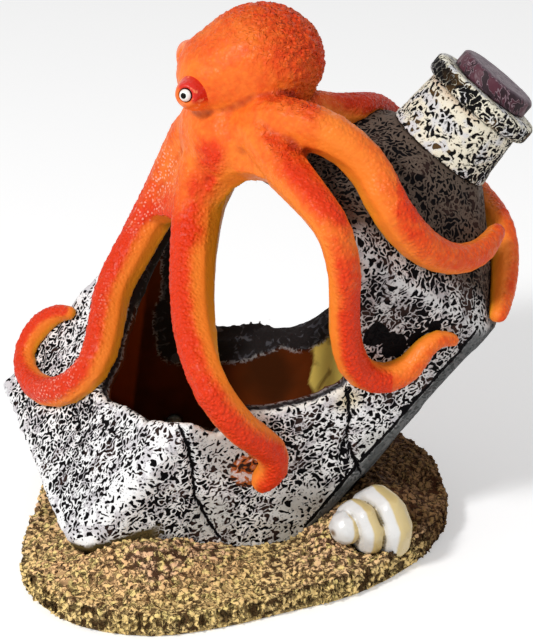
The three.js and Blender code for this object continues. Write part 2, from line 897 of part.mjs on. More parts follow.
// Eyes on both flanks of the face
const eyeOffsetX = -faceRadiusX * 0.66;
const eyeOffsetY = faceRadiusY * 0.86;
const eyes = ["front", "rear"].map((name, i) => {
  const flip = i ? 1 : -1;
  const look = new THREE.Vector3(-0.38, flip * 0.86, 0.3).normalize();
  const lidCentre = new THREE.Vector3(eyeOffsetX, flip * eyeOffsetY, flip * eyeTilt).add(faceCentre);
  const eyeCentre = lidCentre.clone().addScaledVector(look, lidRadius - eyeRadius * 0.45);
  const pupilCentre = eyeCentre.clone().addScaledVector(look, eyeRadius - pupilRadius * 0.3);
  const lidBall = ballSolid(lidRadius, lidCentre, 12, 8);
  const eyeBall = ballSolid(eyeRadius, eyeCentre, 10, 7);
  const eyeSocket = ballSolid(eyeRadius + eyeGap, eyeCentre, 10, 7);
  const pupil = ballSolid(pupilRadius, pupilCentre, 8, 6);
  const pupilSocket = ballSolid(pupilRadius + eyeGap, pupilCentre, 8, 6);
  return {
    name,
    lid: without(lidBall, [headSolid(fitGap), eyeSocket]),
    eyeball: without(eyeBall, [pupilSocket]),
    pupil,
  };
});

// Octopus arms: how far each one belongs to the web, and its path
const arms = [
  { name: "arm_left_loop", table: armLeftLoopShares, webReach: 3.7 },
  { name: "arm_front", table: armFrontShares, webReach: 4 },
  { name: "arm_right_curl", table: armRightShares, webReach: 3.2 },
  { name: "arm_shoulder", table: armShoulderShares, webReach: 3.2 },
  { name: "arm_neck", table: armNeckShares, webReach: 2.9 },
  { name: "arm_rear_right", table: armRearRightShares, webReach: 2.6 },
  { name: "arm_rear_middle", table: armRearMiddleShares, webReach: 2.8 },
  { name: "arm_rear_left", table: armRearLeftShares, webReach: 2.8 },
];
const hubPoints = ellipsoidPoints(
  new THREE.Vector3(hubRadiusAlong, hubRadiusOut, hubRadiusSide),
  new THREE.Vector3(...hubPlace),
  20,
  12,
).map((point) => point.applyMatrix4(bottleFrame));
const membraneArches = [0.06, 0.34, 0.3, 0.3, 0.3, 0.25, 0.25, 0.15];
const webParts = [solid(new ConvexGeometry(hubPoints))];
arms.forEach((arm, i) => {
  const next = arms[(i + 1) % arms.length];
  webParts.push(armBody(arm.table, 0, arm.webReach, 0));
  webParts.push(
    membrane(arm.table, next.table, arm.webReach * 0.94, next.webReach * 0.94, membraneArches[i]),
  );
});
const armGapSteps = 0.04;
function freeArm(arm, grow) {
  return armBody(arm.table, arm.webReach + armGapSteps, arm.table.length - 1, grow);
}
const freeArmsGrown = arms.map((arm) => freeArm(arm, fitGap));
const webSolid = biggestPiece(
  without(union(webParts), [headSolid(fitGap), bottleGrown, neckKeepOut, ...freeArmsGrown]),
);
const armSolids = arms.map((arm, i) => {
  const earlier = i ? [freeArmsGrown[i - 1]] : [];
  return biggestPiece(without(freeArm(arm, 0), [bottleGrown, neckKeepOut, ...earlier]));
});

// Snail shell: swelling whorls wound about a short spire
const spireAxis = new THREE.Vector3(-0.86, -0.48, 0.08).normalize();
const snailFrame = new THREE.Matrix4()
  .makeRotationFromQuaternion(
    new THREE.Quaternion().setFromUnitVectors(new THREE.Vector3(0, 0, 1), spireAxis),
  )
  .setPosition(snailX, snailY, snailHeight);
const snailTurns = 2;
const snailStart = 0.55;
const snailSteps = 14;
function snailBody(grow) {
  const balls = [];
  for (let k = 0; k <= snailSteps; k++) {
    const t = k / snailSteps;
    const angle = (snailStart - t * snailTurns) * Math.PI * 2;
    const whorl = snailFirstRadius + (snailLastRadius - snailFirstRadius) * t;
    const radius = (k ? whorl : snailTipRadius) + grow;
    const swing = snailSwing * Math.pow(t, 0.3);
    const centre = new THREE.Vector3(
      Math.cos(angle) * swing,
      Math.sin(angle) * swing,
      snailRise - snailDrop * t,
    ).applyMatrix4(snailFrame);
    const radii = new THREE.Vector3(radius, radius, radius);
    balls.push(ellipsoidPoints(radii, centre, 9, 6));
  }
  const lengths = balls
    .slice(1)
    .map((ball, k) => solid(new ConvexGeometry([...balls[k], ...ball])));
  return union(lengths);
}
const snailSolid = biggestPiece(snailBody(0).subtract(bottleGrown));

// Sand base: a flat foot, a bevelled rim and a rough top that rises under the bottle
const outline = new THREE.CatmullRomCurve3(
  sized(baseOutlineShares, baseSizes).map(([x, y]) => new THREE.Vector3(x, y, 0)),
  true,
);
const heights = sized(sandHeightShares, baseSizes);
function sandHeight(x, y) {
  let sum = 0;
  let weight = 0;
  for (const [hx, hy, h] of heights) {
    const near = 1 / Math.pow(Math.hypot(x - hx, y - hy) + span * 0.02, 3);
    sum += h * near;
    weight += near;
  }
  return sum / weight;
}
function baseRing(share, drop, grain) {
  const ring = [];
  for (let i = 0; i < sandSpokes; i++) {
    const edge = outline.getPoint(i / sandSpokes);
    const x = baseCentreX + (edge.x - baseCentreX) * share;
    const y = baseCentreY + (edge.y - baseCentreY) * share;
    const rough = grain * unruly(x / span, y / span, share);
    ring.push(new THREE.Vector3(x, y, drop === null ? sandHeight(x, y) + rough : drop));
  }
  return ring;
}
const baseRings = [];
baseRings.push(baseRing(1 - sandEdgeBevel / span, 0, 0));
baseRings.push(baseRing(1, sandEdgeBevel, 0));
for (let k = 0; k < sandRings; k++) {
  const share = 1 - Math.pow(k / sandRings, 1.15) * 0.97;
  baseRings.push(baseRing(share, null, sandGrain));
}
const pocketTool = bottleGrown.subtract(
  boxSolid(span * 4, span * 4, span * 2, 0, 0, sandFloor - span),
);
const hoseSeatCut = boxSolid(
  flangeRadius * 3,
  span * 0.5,
  span,
  inletX,
  seatY + span * 0.25,
  span * 0.5,
);
const baseSolid = biggestPiece(
  without(loft(baseRings), [
    pocketTool,
    hoseSeatCut,
    tubePassage,
    snailBody(fitGap),
  ]),
);

// Air parts, turned about the level line of the inlet
function turnedOnInlet(profile, segments) {
  const points = profile.map(([radius, y]) => new THREE.Vector2(radius, y));
  const lathe = new THREE.LatheGeometry(points, segments);
  lathe.translate(inletX, 0, tubeHeight);
  const made = solid(lathe);
  return made.volume() < 0 ? solid(turnedInsideOut(mergeVertices(lathe))) : made;
}
const flangeStart = seatY + fitGap;
const flangeEnd = flangeStart + flangeThickness;
const barbProfile = [
  [boreRadius, flangeStart],
  [flangeRadius, flangeStart],
  [flangeRadius, flangeEnd],
  [barbWaistRadius, flangeEnd],
];
const barbCount = 3;
for (let k = 0; k < barbCount; k++) {
  const start = flangeEnd + (barbLength * (k + 0.35)) / barbCount;
  const end = flangeEnd + (barbLength * (k + 1)) / barbCount;
  barbProfile.push([barbWaistRadius, start], [barbRadius, start], [barbWaistRadius, end]);
}
barbProfile.push([boreRadius, flangeEnd + barbLength], [boreRadius, flangeStart]);
const barbSolid = turnedOnInlet(barbProfile, 18);
const spigotDepth = stoneLength * 0.25;
const tubeFrontY = seatY - tubeLength;
const stoneRearY = tubeFrontY + spigotDepth;
const stoneFrontY = stoneRearY - stoneLength;
const tubeSolid = turnedOnInlet(
  [
    [boreRadius, tubeFrontY],
    [tubeRadius, tubeFrontY],
    [tubeRadius, seatY],
    [boreRadius, seatY],
    [boreRadius, tubeFrontY],
  ],
  18,
);
const stoneSolid = turnedOnInlet(
  [
    [0, stoneFrontY],
    [stoneRadius - stoneBevel, stoneFrontY],
    [stoneRadius, stoneFrontY + stoneBevel],
    [stoneRadius, stoneRearY - stoneBevel],
    [stoneRadius - stoneBevel, stoneRearY],
    [tubeRadius + fitGap, stoneRearY],
    [tubeRadius + fitGap, tubeFrontY - fitGap],
    [0, tubeFrontY - fitGap],
  ],
  18,
);

// Finishes seen in the photograph
const finishes = {
  stone: { color: 0xdcdcd8, roughness: 0.75, metalness: 0 },
  cream: { color: 0xeee6c8, roughness: 0.7, metalness: 0 },
  plum: { color: 0x583240, roughness: 0.5, metalness: 0 },
  orange: { color: 0xf58a38, roughness: 0.55, metalness: 0 },
  redOrange: { color: 0xe85a28, roughness: 0.55, metalness: 0 },
  white: { color: 0xf8f8f8, roughness: 0.25, metalness: 0 },
  black: { color: 0x101010, roughness: 0.25, metalness: 0 },
  sand: { color: 0xd6b878, roughness: 0.9, metalness: 0 },
  shell: { color: 0xf0eedd, roughness: 0.5, metalness: 0 },
  clearPlastic: { color: 0xd8e0e0, roughness: 0.3, metalness: 0 },
  airStone: { color: 0x6f8fb0, roughness: 0.95, metalness: 0 },
};
const root = new THREE.Group();
root.name = "bubbling_ornament";
function addPart(name, body, finish) {
  const material = new THREE.MeshStandardMaterial(finishes[finish]);
  const mesh = new THREE.Mesh(geometryOf(tidied(body)), material);
  mesh.name = name;
  root.add(mesh);
}
addPart("sand_base", baseSolid, "sand");
addPart("bottle_shell", bottleShell, "stone");
addPart("bottle_neck", neckSolid, "cream");
addPart("neck_collar", collarSolid, "cream");
addPart("bottle_stopper", stopperSolid, "plum");
addPart("octopus_head", headSolid(0), "orange");
addPart("octopus_web", webSolid, "orange");
arms.forEach((arm, i) => addPart(arm.name, armSolids[i], "orange"));
eyes.forEach((eye) => {
  addPart("eyelid_" + eye.name, eye.lid, "redOrange");
  addPart("eyeball_" + eye.name, eye.eyeball, "white");
  addPart("pupil_" + eye.name, eye.pupil, "black");
});
addPart("snail_shell", snailSolid, "shell");
addPart("air_inlet_barb", barbSolid, "clearPlastic");
addPart("air_tube", tubeSolid, "clearPlastic");
addPart("air_stone", stoneSolid, "airStone");

export default root;
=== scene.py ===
"""Scene of an aquarium ornament: an octopus hugging a broken stone bottle on a sand base."""

import logging
import math
from contextlib import contextmanager
from dataclasses import dataclass, field
from enum import Enum
from typing import Callable, Iterator, Optional, Sequence, Union

import bpy
import numpy as np
from mathutils import Matrix, Vector
from mathutils.bvhtree import BVHTree
from mathutils.kdtree import KDTree


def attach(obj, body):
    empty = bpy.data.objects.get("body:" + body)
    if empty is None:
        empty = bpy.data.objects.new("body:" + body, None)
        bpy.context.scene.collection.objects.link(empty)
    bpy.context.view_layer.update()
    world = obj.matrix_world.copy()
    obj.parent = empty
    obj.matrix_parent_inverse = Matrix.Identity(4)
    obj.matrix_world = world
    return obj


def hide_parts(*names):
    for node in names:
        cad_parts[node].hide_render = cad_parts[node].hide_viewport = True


logging.basicConfig(level=logging.INFO, format="%(message)s")
LOG = logging.getLogger("ornament")

MM = 0.001
Socket = bpy.types.NodeSocket
Colour = tuple[float, float, float, float]
Value = Union[Socket, float]
Points = np.ndarray
Place = tuple[float, float, float]
Line = tuple[Place, ...]
Profile = Sequence[tuple[float, float]]

NODES_A_ROW = 12
NODE_SPACE = (180, -220)
NOISE_RANGE = (0.3, 0.7)
CLOUD_EDGE = 0.12
CRUMBLED = 0.55


def paint(red: int, green: int, blue: int) -> Colour:
    """Turns a colour as seen, 0 to 255 a channel, into the linear colour of a shader.

    Args:
        red: Red as seen.
        green: Green as seen.
        blue: Blue as seen.

    Returns:
        The linear colour with full alpha.
    """
    seen = np.array([red, green, blue]) / 255
    low, high = seen / 12.92, ((seen + 0.055) / 1.055) ** 2.4
    return (*[float(c) for c in np.where(seen <= 0.04045, low, high)], 1.0)


BLACK = paint(0, 0, 0)
WHITE = paint(255, 255, 255)


def smooth(value: Points, low: float, high: float) -> Points:
    """Rises smoothly from 0 at low to 1 at high.

    Args:
        value: The numbers to turn into shares.
        low: Where the share is 0.
        high: Where the share is 1.

    Returns:
        The shares.
    """
    share = np.clip((value - low) / (high - low), 0, 1)
    return share * share * (3 - 2 * share)


# Node trees


class Sheet:
    """A node tree while its nodes are being written."""

    def __init__(self, tree: bpy.types.NodeTree) -> None:
        """Keeps the tree that the nodes go into."""
        self.tree = tree

    def node(self, kind: str, inputs: Optional[dict] = None, **settings: object) -> bpy.types.Node:
        """Adds one node.

        Args:
            kind: Blender's name of the node type.
            inputs: Values or sockets for its inputs, by name or place.
            **settings: The node's own settings.

        Returns:
            The new node.
        """
        made = self.tree.nodes.new(kind)
        row, column = divmod(len(self.tree.nodes), NODES_A_ROW)
        made.location = (NODE_SPACE[0] * column, NODE_SPACE[1] * row)
        for name, value in settings.items():
            setattr(made, name, value)
        for key, value in (inputs or {}).items():
            self.feed(made.inputs[key], value)
        return made

    def feed(self, socket: Socket, value: object) -> None:
        """Links a socket to an input, or sets its plain value.

        Args:
            socket: The input.
            value: A socket, or a number, colour or text.
        """
        if isinstance(value, bpy.types.NodeSocket):
            self.tree.links.new(value, socket)
        else:
            socket.default_value = value

    def math(self, operation: str, first: Value, second: Value = 0.0, clamp: bool = False) -> Socket:
        """Does one sum.

        Args:
            operation: The sum's name.
            first: Its first number.
            second: Its second number.
            clamp: Whether the result stays within 0 and 1.

        Returns:
            The result's socket.
        """
        made = self.node("ShaderNodeMath", {0: first, 1: second}, operation=operation, use_clamp=clamp)
        return made.outputs[0]

    def plus(self, first: Value, second: Value) -> Socket:
        """Adds two numbers."""
        return self.math("ADD", first, second)

    def less(self, first: Value, second: Value) -> Socket:
        """Takes the second number from the first."""
        return self.math("SUBTRACT", first, second)

    def times(self, first: Value, second: Value) -> Socket:
        """Multiplies two numbers."""
        return self.math("MULTIPLY", first, second)

    def most(self, first: Value, second: Value) -> Socket:
        """Gives the larger of two numbers."""
        return self.math("MAXIMUM", first, second)

    def size(self, value: Socket) -> Socket:
        """Gives a number without its sign."""
        return self.math("ABSOLUTE", value)

    def swing(self, value: Socket, reach: float) -> Socket:
        """Gives soft noise as a swing to both sides of 0."""
        return self.times(self.less(value, 0.5), reach)

    def vector(self, operation: str, first: Socket, second: Union[Socket, Place]) -> bpy.types.Node:
        """Adds a sum of two places or directions."""
        return self.node("ShaderNodeVectorMath", {0: first, 1: second}, operation=operation)

    def stretch(self, vector: Socket, sizes: Place) -> Socket:
        """Multiplies a place by a size along each axis."""
        return self.vector("MULTIPLY", vector, sizes).outputs[0]

    def mix(self, share: Value, first: Union[Socket, Colour], second: Union[Socket, Colour]) -> Socket:
        """Mixes two colours.

        Args:
            share: How much of the second shows.
            first: The colour at 0.
            second: The colour at 1.

        Returns:
            The mixed colour's socket.
        """
        made = self.node("ShaderNodeMix", {0: share, 6: first, 7: second}, data_type="RGBA")
        return made.outputs[2]

    def blend(self, share: Value, first: Value, second: Value) -> Socket:
        """Mixes two numbers."""
        return self.node("ShaderNodeMix", {0: share, 2: first, 3: second}).outputs[0]

    def ease(self, value: Socket, low: Value, high: Value, start: float = 0.0, end: float = 1.0) -> Socket:
        """Rises smoothly between two values.

        Args:
            value: What is read.
            low: Where the rise starts.
            high: Where it ends.
            start: The result below it.
            end: The result above it.

        Returns:
            The result's socket.
        """
        limits = {"Value": value, "From Min": low, "From Max": high, "To Min": start, "To Max": end}
        return self.node("ShaderNodeMapRange", limits, interpolation_type="SMOOTHSTEP").outputs[0]

    def spread(self, value: Socket, start: float = 0.0, end: float = 1.0) -> Socket:
        """Spreads soft noise over a range, from start in its lows to end in its highs."""
        return self.ease(value, *NOISE_RANGE, start, end)

    def noise(self, vector: Socket, scale: Value, detail: float = 2.0, twist: float = 0.0) -> Socket:
        """Reads soft noise at a place.

        Args:
            vector: The place.
            scale: Waves to a metre.
            detail: How many finer layers it has.
            twist: How far it is pulled about.

        Returns:
            The noise, about 0 to 1.
        """
        values = {"Vector": vector, "Scale": scale, "Detail": detail, "Distortion": twist}
        return self.node("ShaderNodeTexNoise", values).outputs["Fac"]

    def cells(self, vector: Socket, scale: Value, feature: str = "F1") -> bpy.types.Node:
        """Divides space into cells.

        Args:
            vector: The place.
            scale: Cells to a metre.
            feature: Which distance it gives.

        Returns:
            The cell node.
        """
        values = {"Vector": vector, "Scale": scale}
        return self.node("ShaderNodeTexVoronoi", values, feature=feature)

    def scaled(self, vector: Socket, factor: Value) -> Socket:
        """Multiplies a place by one number."""
        return self.node("ShaderNodeVectorMath", {0: vector, "Scale": factor}, operation="SCALE").outputs[0]

    def wobbled(self, vector: Socket, scale: float, reach: float) -> Socket:
        """Moves a place about by noise.

        Args:
            vector: The place.
            scale: Waves to a unit.
            reach: How far it moves.

        Returns:
            The moved place's socket.
        """
        values = {"Vector": vector, "Scale": scale, "Detail": 1.0}
        colour = self.node("ShaderNodeTexNoise", values).outputs["Color"]
        centred = self.vector("SUBTRACT", colour, (0.5, 0.5, 0.5)).outputs[0]
        return self.vector("ADD", vector, self.scaled(centred, 2 * reach)).outputs[0]

    def read(self, name: str) -> Socket:
        """Reads a number stored on the mesh."""
        return self.node("ShaderNodeAttribute", attribute_name=name).outputs["Fac"]


@dataclass(frozen=True)
class Pits:
    """Worn pits, with a raised pale net that winds between them."""

    twist: float = 0.35
    crisp: float = 0.02
    widest: float = 0.19
    narrowing: float = 0.2
    bend_waves: float = 0.3
    bend: float = 0.8

    def write(self, sheet: Sheet, vector: Socket, scale: Value, reach: Value) -> Socket:
        """Writes the pits into a tree.

        Args:
            sheet: The tree.
            vector: The place.
            scale: Waves to a metre, about half as many as there are pits.
            reach: The share of the skin that they take, about 0.1 to 0.9.

        Returns:
            1 in a pit and 0 on the net.
        """
        moved = sheet.wobbled(sheet.scaled(vector, scale), self.bend_waves, self.bend)
        value = sheet.noise(moved, 1.0, 0.0, self.twist)
        away = sheet.size(sheet.less(value, 0.5))
        width = sheet.less(self.widest, sheet.times(reach, self.narrowing))
        return sheet.ease(sheet.less(away, width), -self.crisp, self.crisp)


@dataclass(frozen=True)
class Grains:
    """Grains or warts that touch each other, rounder or more broken."""

    wobble: float = 0.2
    wobble_waves: float = 1.3
    foot: float = 0.75
    top: float = 0.05

    def write(self, sheet: Sheet, vector: Socket, scale: Value) -> tuple[Socket, Socket]:
        """Writes the grains into a tree.

        Args:
            sheet: The tree.
            vector: The place.
            scale: Grains to a metre.

        Returns:
            The height, 1 at a grain's top, and a number of each grain's own.
        """
        moved = sheet.wobbled(sheet.scaled(vector, scale), self.wobble_waves, self.wobble)
        cells = sheet.cells(moved, 1.0)
        height = sheet.ease(cells.outputs["Distance"], self.foot, self.top)
        split = sheet.node("ShaderNodeSeparateXYZ", {0: cells.outputs["Color"]})
        return height, split.outputs[0]


class Effect(Enum):
    """The effects that several materials share."""

    PITS = "pitted_wear"
    WARTS = "round_warts"
    CRUMBS = "broken_crumbs"
    CLOUDS = "soft_clouds"


class EffectShelf:
    """Builds each shared effect once, as a shader node group."""

    def __init__(self) -> None:
        """Starts with an empty shelf."""
        self.built: dict[Effect, bpy.types.NodeTree] = {}

    def take(self, effect: Effect) -> bpy.types.NodeTree:
        """Gives a shared effect, and builds it the first time.

        Args:
            effect: Which effect.

        Returns:
            Its node group.
        """
        if effect not in self.built:
            own_input, writer = {
                Effect.PITS: ("Reach", self._pits),
                Effect.WARTS: (None, self._warts),
                Effect.CRUMBS: (None, self._crumbs),
                Effect.CLOUDS: ("Cover", self._clouds),
            }[effect]
            tree = bpy.data.node_groups.new(effect.value, "ShaderNodeTree")
            sockets = tree.interface
            sockets.new_socket("Vector", in_out="INPUT", socket_type="NodeSocketVector")
            for name in filter(None, ("Scale", own_input)):
                sockets.new_socket(name, in_out="INPUT", socket_type="NodeSocketFloat")
            sheet = Sheet(tree)
            made = writer(sheet, sheet.node("NodeGroupInput").outputs)
            for name in made:
                sockets.new_socket(name, in_out="OUTPUT", socket_type="NodeSocketFloat")
            sheet.node("NodeGroupOutput", made)
            self.built[effect] = tree
        return self.built[effect]

    @staticmethod
    def _pits(sheet: Sheet, given: bpy.types.NodeOutputs) -> dict[str, Socket]:
        """Writes pitted wear of given size and width."""
        return {"Pit": Pits().write(sheet, given["Vector"], given["Scale"], given["Reach"])}

    @staticmethod
    def _warts(sheet: Sheet, given: bpy.types.NodeOutputs) -> dict[str, Socket]:
        """Writes round warts of given size."""
        return dict(zip(("Height", "Own"), Grains().write(sheet, given["Vector"], given["Scale"])))

    @staticmethod
    def _crumbs(sheet: Sheet, given: bpy.types.NodeOutputs) -> dict[str, Socket]:
        """Writes broken crumbs of given size."""
        return dict(zip(("Height", "Own"), Grains(CRUMBLED).write(sheet, given["Vector"], given["Scale"])))

    @staticmethod
    def _clouds(sheet: Sheet, given: bpy.types.NodeOutputs) -> dict[str, Socket]:
        """Writes broad soft patches that cover a given share of a surface.

        Args:
            sheet: The group's tree.
            given: The group's inputs.

        Returns:
            The patches as a mask, and the noise that they come from.
        """
        value = sheet.noise(given["Vector"], given["Scale"], 3.0, 0.3)
        level = sheet.less(1.0, given["Cover"])
        mask = sheet.ease(sheet.less(sheet.spread(value), level), -CLOUD_EDGE, CLOUD_EDGE)
        return {"Mask": mask, "Value": value}


SHELF = EffectShelf()


class Coat:
    """A material while it is being written, with its Principled shader."""

    def __init__(self, name: str, roughness: float) -> None:
        """Makes the material.

        Args:
            name: The material's name.
            roughness: Its plain roughness.
        """
        self.material = bpy.data.materials.new(name)
        self.material.use_nodes = True
        self.sheet = Sheet(self.material.node_tree)
        self.place = self.sheet.node("ShaderNodeTexCoord").outputs["Object"]
        self.shader = self.material.node_tree.nodes["Principled BSDF"]
        self.shader.inputs["Roughness"].default_value = roughness

    def effect(self, effect: Effect, **inputs: Value) -> bpy.types.NodeOutputs:
        """Places a shared effect with this material's own values.

        Args:
            effect: Which effect.
            **inputs: Its values, by name in lower case.

        Returns:
            The effect's outputs.
        """
        group = self.sheet.node("ShaderNodeGroup", node_tree=SHELF.take(effect))
        for key, value in {"vector": self.place, **inputs}.items():
            self.sheet.feed(group.inputs[key.capitalize()], value)
        return group.outputs

    def colour(self, value: Union[Socket, Colour]) -> None:
        """Sets the base colour."""
        self.sheet.feed(self.shader.inputs["Base Color"], value)

    def roughness(self, value: Value) -> None:
        """Sets the roughness."""
        self.sheet.feed(self.shader.inputs["Roughness"], value)

    def bump(self, height: Socket, depth: float, strength: float = 1.0) -> None:
        """Adds fine relief after any that is there.

        Args:
            height: The height, 0 to 1.
            depth: How deep 1 is, in metres.
            strength: How much of it shows.
        """
        values = {"Height": height, "Distance": depth, "Strength": strength}
        made = self.sheet.node("ShaderNodeBump", values)
        normal = self.shader.inputs["Normal"]
        if normal.is_linked:
            self.sheet.feed(made.inputs["Normal"], normal.links[0].from_socket)
        self.sheet.feed(normal, made.outputs["Normal"])

    def set(self, **values: float) -> "Coat":
        """Sets plain values of the shader.

        Args:
            **values: The values, with names as coat_weight for Coat Weight.

        Returns:
            This coat.
        """
        for key, value in values.items():
            name = " ".join(word.capitalize() for word in key.split("_")).replace("Ior", "IOR")
            self.shader.inputs[name].default_value = value
        return self


# Mesh workshop


def pick(*things: bpy.types.Object) -> bpy.types.Object:
    """Selects only these objects, the first one active.

    Args:
        *things: The objects.

    Returns:
        The active one.
    """
    bpy.ops.object.select_all(action="DESELECT")
    for thing in things:
        thing.select_set(True)
    bpy.context.view_layer.objects.active = things[0]
    return things[0]


@contextmanager
def editing() -> Iterator[None]:
    """Opens the active piece in edit mode, all of it selected, and closes it again."""
    bpy.ops.object.mode_set(mode="EDIT")
    bpy.ops.mesh.select_all(action="SELECT")
    yield
    bpy.ops.object.mode_set(mode="OBJECT")


def traced(name: str, nodes: Sequence[str]) -> bpy.types.Object:
    """Makes one merged mesh from copies of solids of the frame.

    Args:
        name: The new piece's name.
        nodes: The solids' names.

    Returns:
        The new piece.
    """
    copies = []
    for node in nodes:
        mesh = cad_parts[node].data.copy()
        mesh.materials.clear()
        copy = bpy.data.objects.new(name, mesh)
        bpy.context.scene.collection.objects.link(copy)
        copies.append(copy)
    piece = pick(*copies)
    if len(copies) > 1:
        bpy.ops.object.join()
    with editing():
        bpy.ops.mesh.remove_doubles(threshold=0.002 * MM)
    piece.name = name
    return piece


def worked(piece: bpy.types.Object, kind: str, **settings: object) -> None:
    """Adds one modifier and applies it.

    Args:
        piece: The piece.
        kind: The modifier's type.
        **settings: Its settings.
    """
    pick(piece)
    modifier = piece.modifiers.new(kind.lower(), kind)
    for name, value in settings.items():
        setattr(modifier, name, value)
    bpy.ops.object.modifier_apply(modifier=modifier.name)


def remeshed(name: str, nodes: Sequence[str], voxel: float, smoothing: int,
             grow: float = 0.0) -> bpy.types.Object:
    """Casts solids of the frame in one even skin of small faces, and closes gaps up to twice grow.

    Args:
        name: The new piece's name.
        nodes: The solids' names.
        voxel: Face size in metres.
        smoothing: How often the skin is smoothed.
        grow: How far it swells before and shrinks after.

    Returns:
        The new piece.
    """
    piece = traced(name, nodes)
    if grow:
        swell(piece, grow)
    worked(piece, "REMESH", mode="VOXEL", voxel_size=voxel, use_smooth_shade=True)
    worked(piece, "SMOOTH", factor=0.5, iterations=smoothing)
    if grow:
        swell(piece, -grow)
    return piece


def rows_of(data: bpy.types.bpy_prop_collection, name: str) -> Points:
    """Gives a vector of each item of some mesh data.

    Args:
        data: The vertices, or their normals.
        name: The vector's name.

    Returns:
        One row of three numbers for each item.
    """
    found = np.empty(len(data) * 3, np.float32)
    data.foreach_get(name, found)
    return found.reshape(-1, 3).astype(float)


def points_of(piece: bpy.types.Object) -> Points:
    """Gives a piece's vertices as rows of metres."""
    return rows_of(piece.data.vertices, "co")


def normals_of(piece: bpy.types.Object) -> Points:
    """Gives a piece's vertex normals as rows."""
    return rows_of(piece.data.vertex_normals, "vector")


def place_points(piece: bpy.types.Object, points: Points) -> None:
    """Moves a piece's vertices to new places."""
    piece.data.vertices.foreach_set("co", points.astype(np.float32).ravel())
    piece.data.update()


def swell(piece: bpy.types.Object, reach: Union[float, Points]) -> None:
    """Moves a piece's skin outwards along its normals.

    Args:
        piece: The piece.
        reach: How far, in metres, for all or for each vertex.
    """
    reach = np.asarray(reach, float)
    offset = normals_of(piece) * (reach[:, None] if reach.ndim else reach)
    place_points(piece, points_of(piece) + offset)


def store(piece: bpy.types.Object, name: str, values: Points) -> None:
    """Stores one number for each vertex, which materials read by name."""
    layer = piece.data.attributes.get(name) or piece.data.attributes.new(name, "FLOAT", "POINT")
    layer.data.foreach_set("value", values.astype(np.float32))


def stored(piece: bpy.types.Object, name: str) -> Points:
    """Reads a stored number for each vertex.

    Args:
        piece: The piece.
        name: The number's name.

    Returns:
        The numbers.
    """
    found = np.empty(len(piece.data.vertices), np.float32)
    piece.data.attributes[name].data.foreach_get("value", found)
    return found.astype(float)


def even(piece: bpy.types.Object, values: Points, rounds: int = 2) -> Points:
    """Averages values over neighbouring vertices.

    Args:
        piece: The piece.
        values: A number or a row for each vertex.
        rounds: How often.

    Returns:
        The averaged values.
    """
    edges = np.empty(len(piece.data.edges) * 2, np.int32)
    piece.data.edges.foreach_get("vertices", edges)
    first, second = edges[::2], edges[1::2]
    values = values.reshape(len(values), -1).copy()
    count = np.bincount(edges, minlength=len(values))[:, None] + 1
    for _ in range(rounds):
        total = values.copy()
        for column in range(values.shape[1]):
            total[:, column] += np.bincount(first, values[second, column], len(values))
            total[:, column] += np.bincount(second, values[first, column], len(values))
        values = total / count
    return values.squeeze()


Writer = Callable[[Sheet, Socket], Socket]


def bumpy(scale: float, detail: float = 2.0, twist: float = 0.0, level: float = 0.5) -> Writer:
    """Gives a writer of soft uneven relief.

    Args:
        scale: Waves to a metre.
        detail: How many finer layers it has.
        twist: How far it is pulled about.
        level: The noise that counts as height 0.

    Returns:
        The writer.
    """
    return lambda sheet, place: sheet.less(sheet.noise(place, scale, detail, twist), level)


def sculpted(piece: bpy.types.Object, depth: float, writer: Writer, weight: str = "") -> None:
    """Presses a written height into a piece's skin, along its normals.

    Args:
        piece: The piece.
        depth: How far a height of 1 moves the skin, in metres.
        writer: Writes the height, which is about -1 to 1, for a place.
        weight: Name of a stored number that scales it, if any.
    """
    tree = bpy.data.node_groups.new("relief", "GeometryNodeTree")
    for direction in ("INPUT", "OUTPUT"):
        tree.interface.new_socket("Geometry", in_out=direction, socket_type="NodeSocketGeometry")
    sheet = Sheet(tree)
    given = sheet.node("NodeGroupInput")
    place = sheet.node("GeometryNodeInputPosition").outputs[0]
    height = sheet.times(writer(sheet, place), depth)
    if weight:
        read = sheet.node("GeometryNodeInputNamedAttribute", {"Name": weight}, data_type="FLOAT")
        height = sheet.times(height, read.outputs["Attribute"])
    offset = sheet.scaled(sheet.node("GeometryNodeInputNormal").outputs[0], height)
    moved = sheet.node("GeometryNodeSetPosition", {"Geometry": given.outputs[0], "Offset": offset})
    sheet.node("NodeGroupOutput", {0: moved.outputs[0]})
    worked(piece, "NODES", node_group=tree)
    bpy.data.node_groups.remove(tree)


def finished(piece: bpy.types.Object, material: bpy.types.Material, nodes: Sequence[str]) -> None:
    """Dresses a new piece and ties it to the frame.

    Args:
        piece: The piece.
        material: Its finish.
        nodes: The solids that it stands for.
    """
    piece.data.materials.clear()
    piece.data.materials.append(material)
    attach(piece, "root")
    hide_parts(*nodes)
    low, high = [np.array(corner) * 1000 for corner in box_of(piece)]
    triangles = len(piece.data.loops) - 2 * len(piece.data.polygons)
    LOG.info("%s: %d triangles, %s to %s mm", piece.name, triangles, low.round(1), high.round(1))


def redressed(node: str, material: bpy.types.Material) -> None:
    """Gives a solid of the frame a better material and keeps its shape.

    Args:
        node: The solid's name.
        material: Its finish.
    """
    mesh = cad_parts[node].data
    mesh.materials.clear()
    mesh.materials.append(material)
    LOG.info("%s: kept as it is in the frame", node)


def box_of(piece: bpy.types.Object) -> tuple[Points, Points]:
    """Gives a piece's lowest and highest corner."""
    points = points_of(piece)
    return points.min(0), points.max(0)


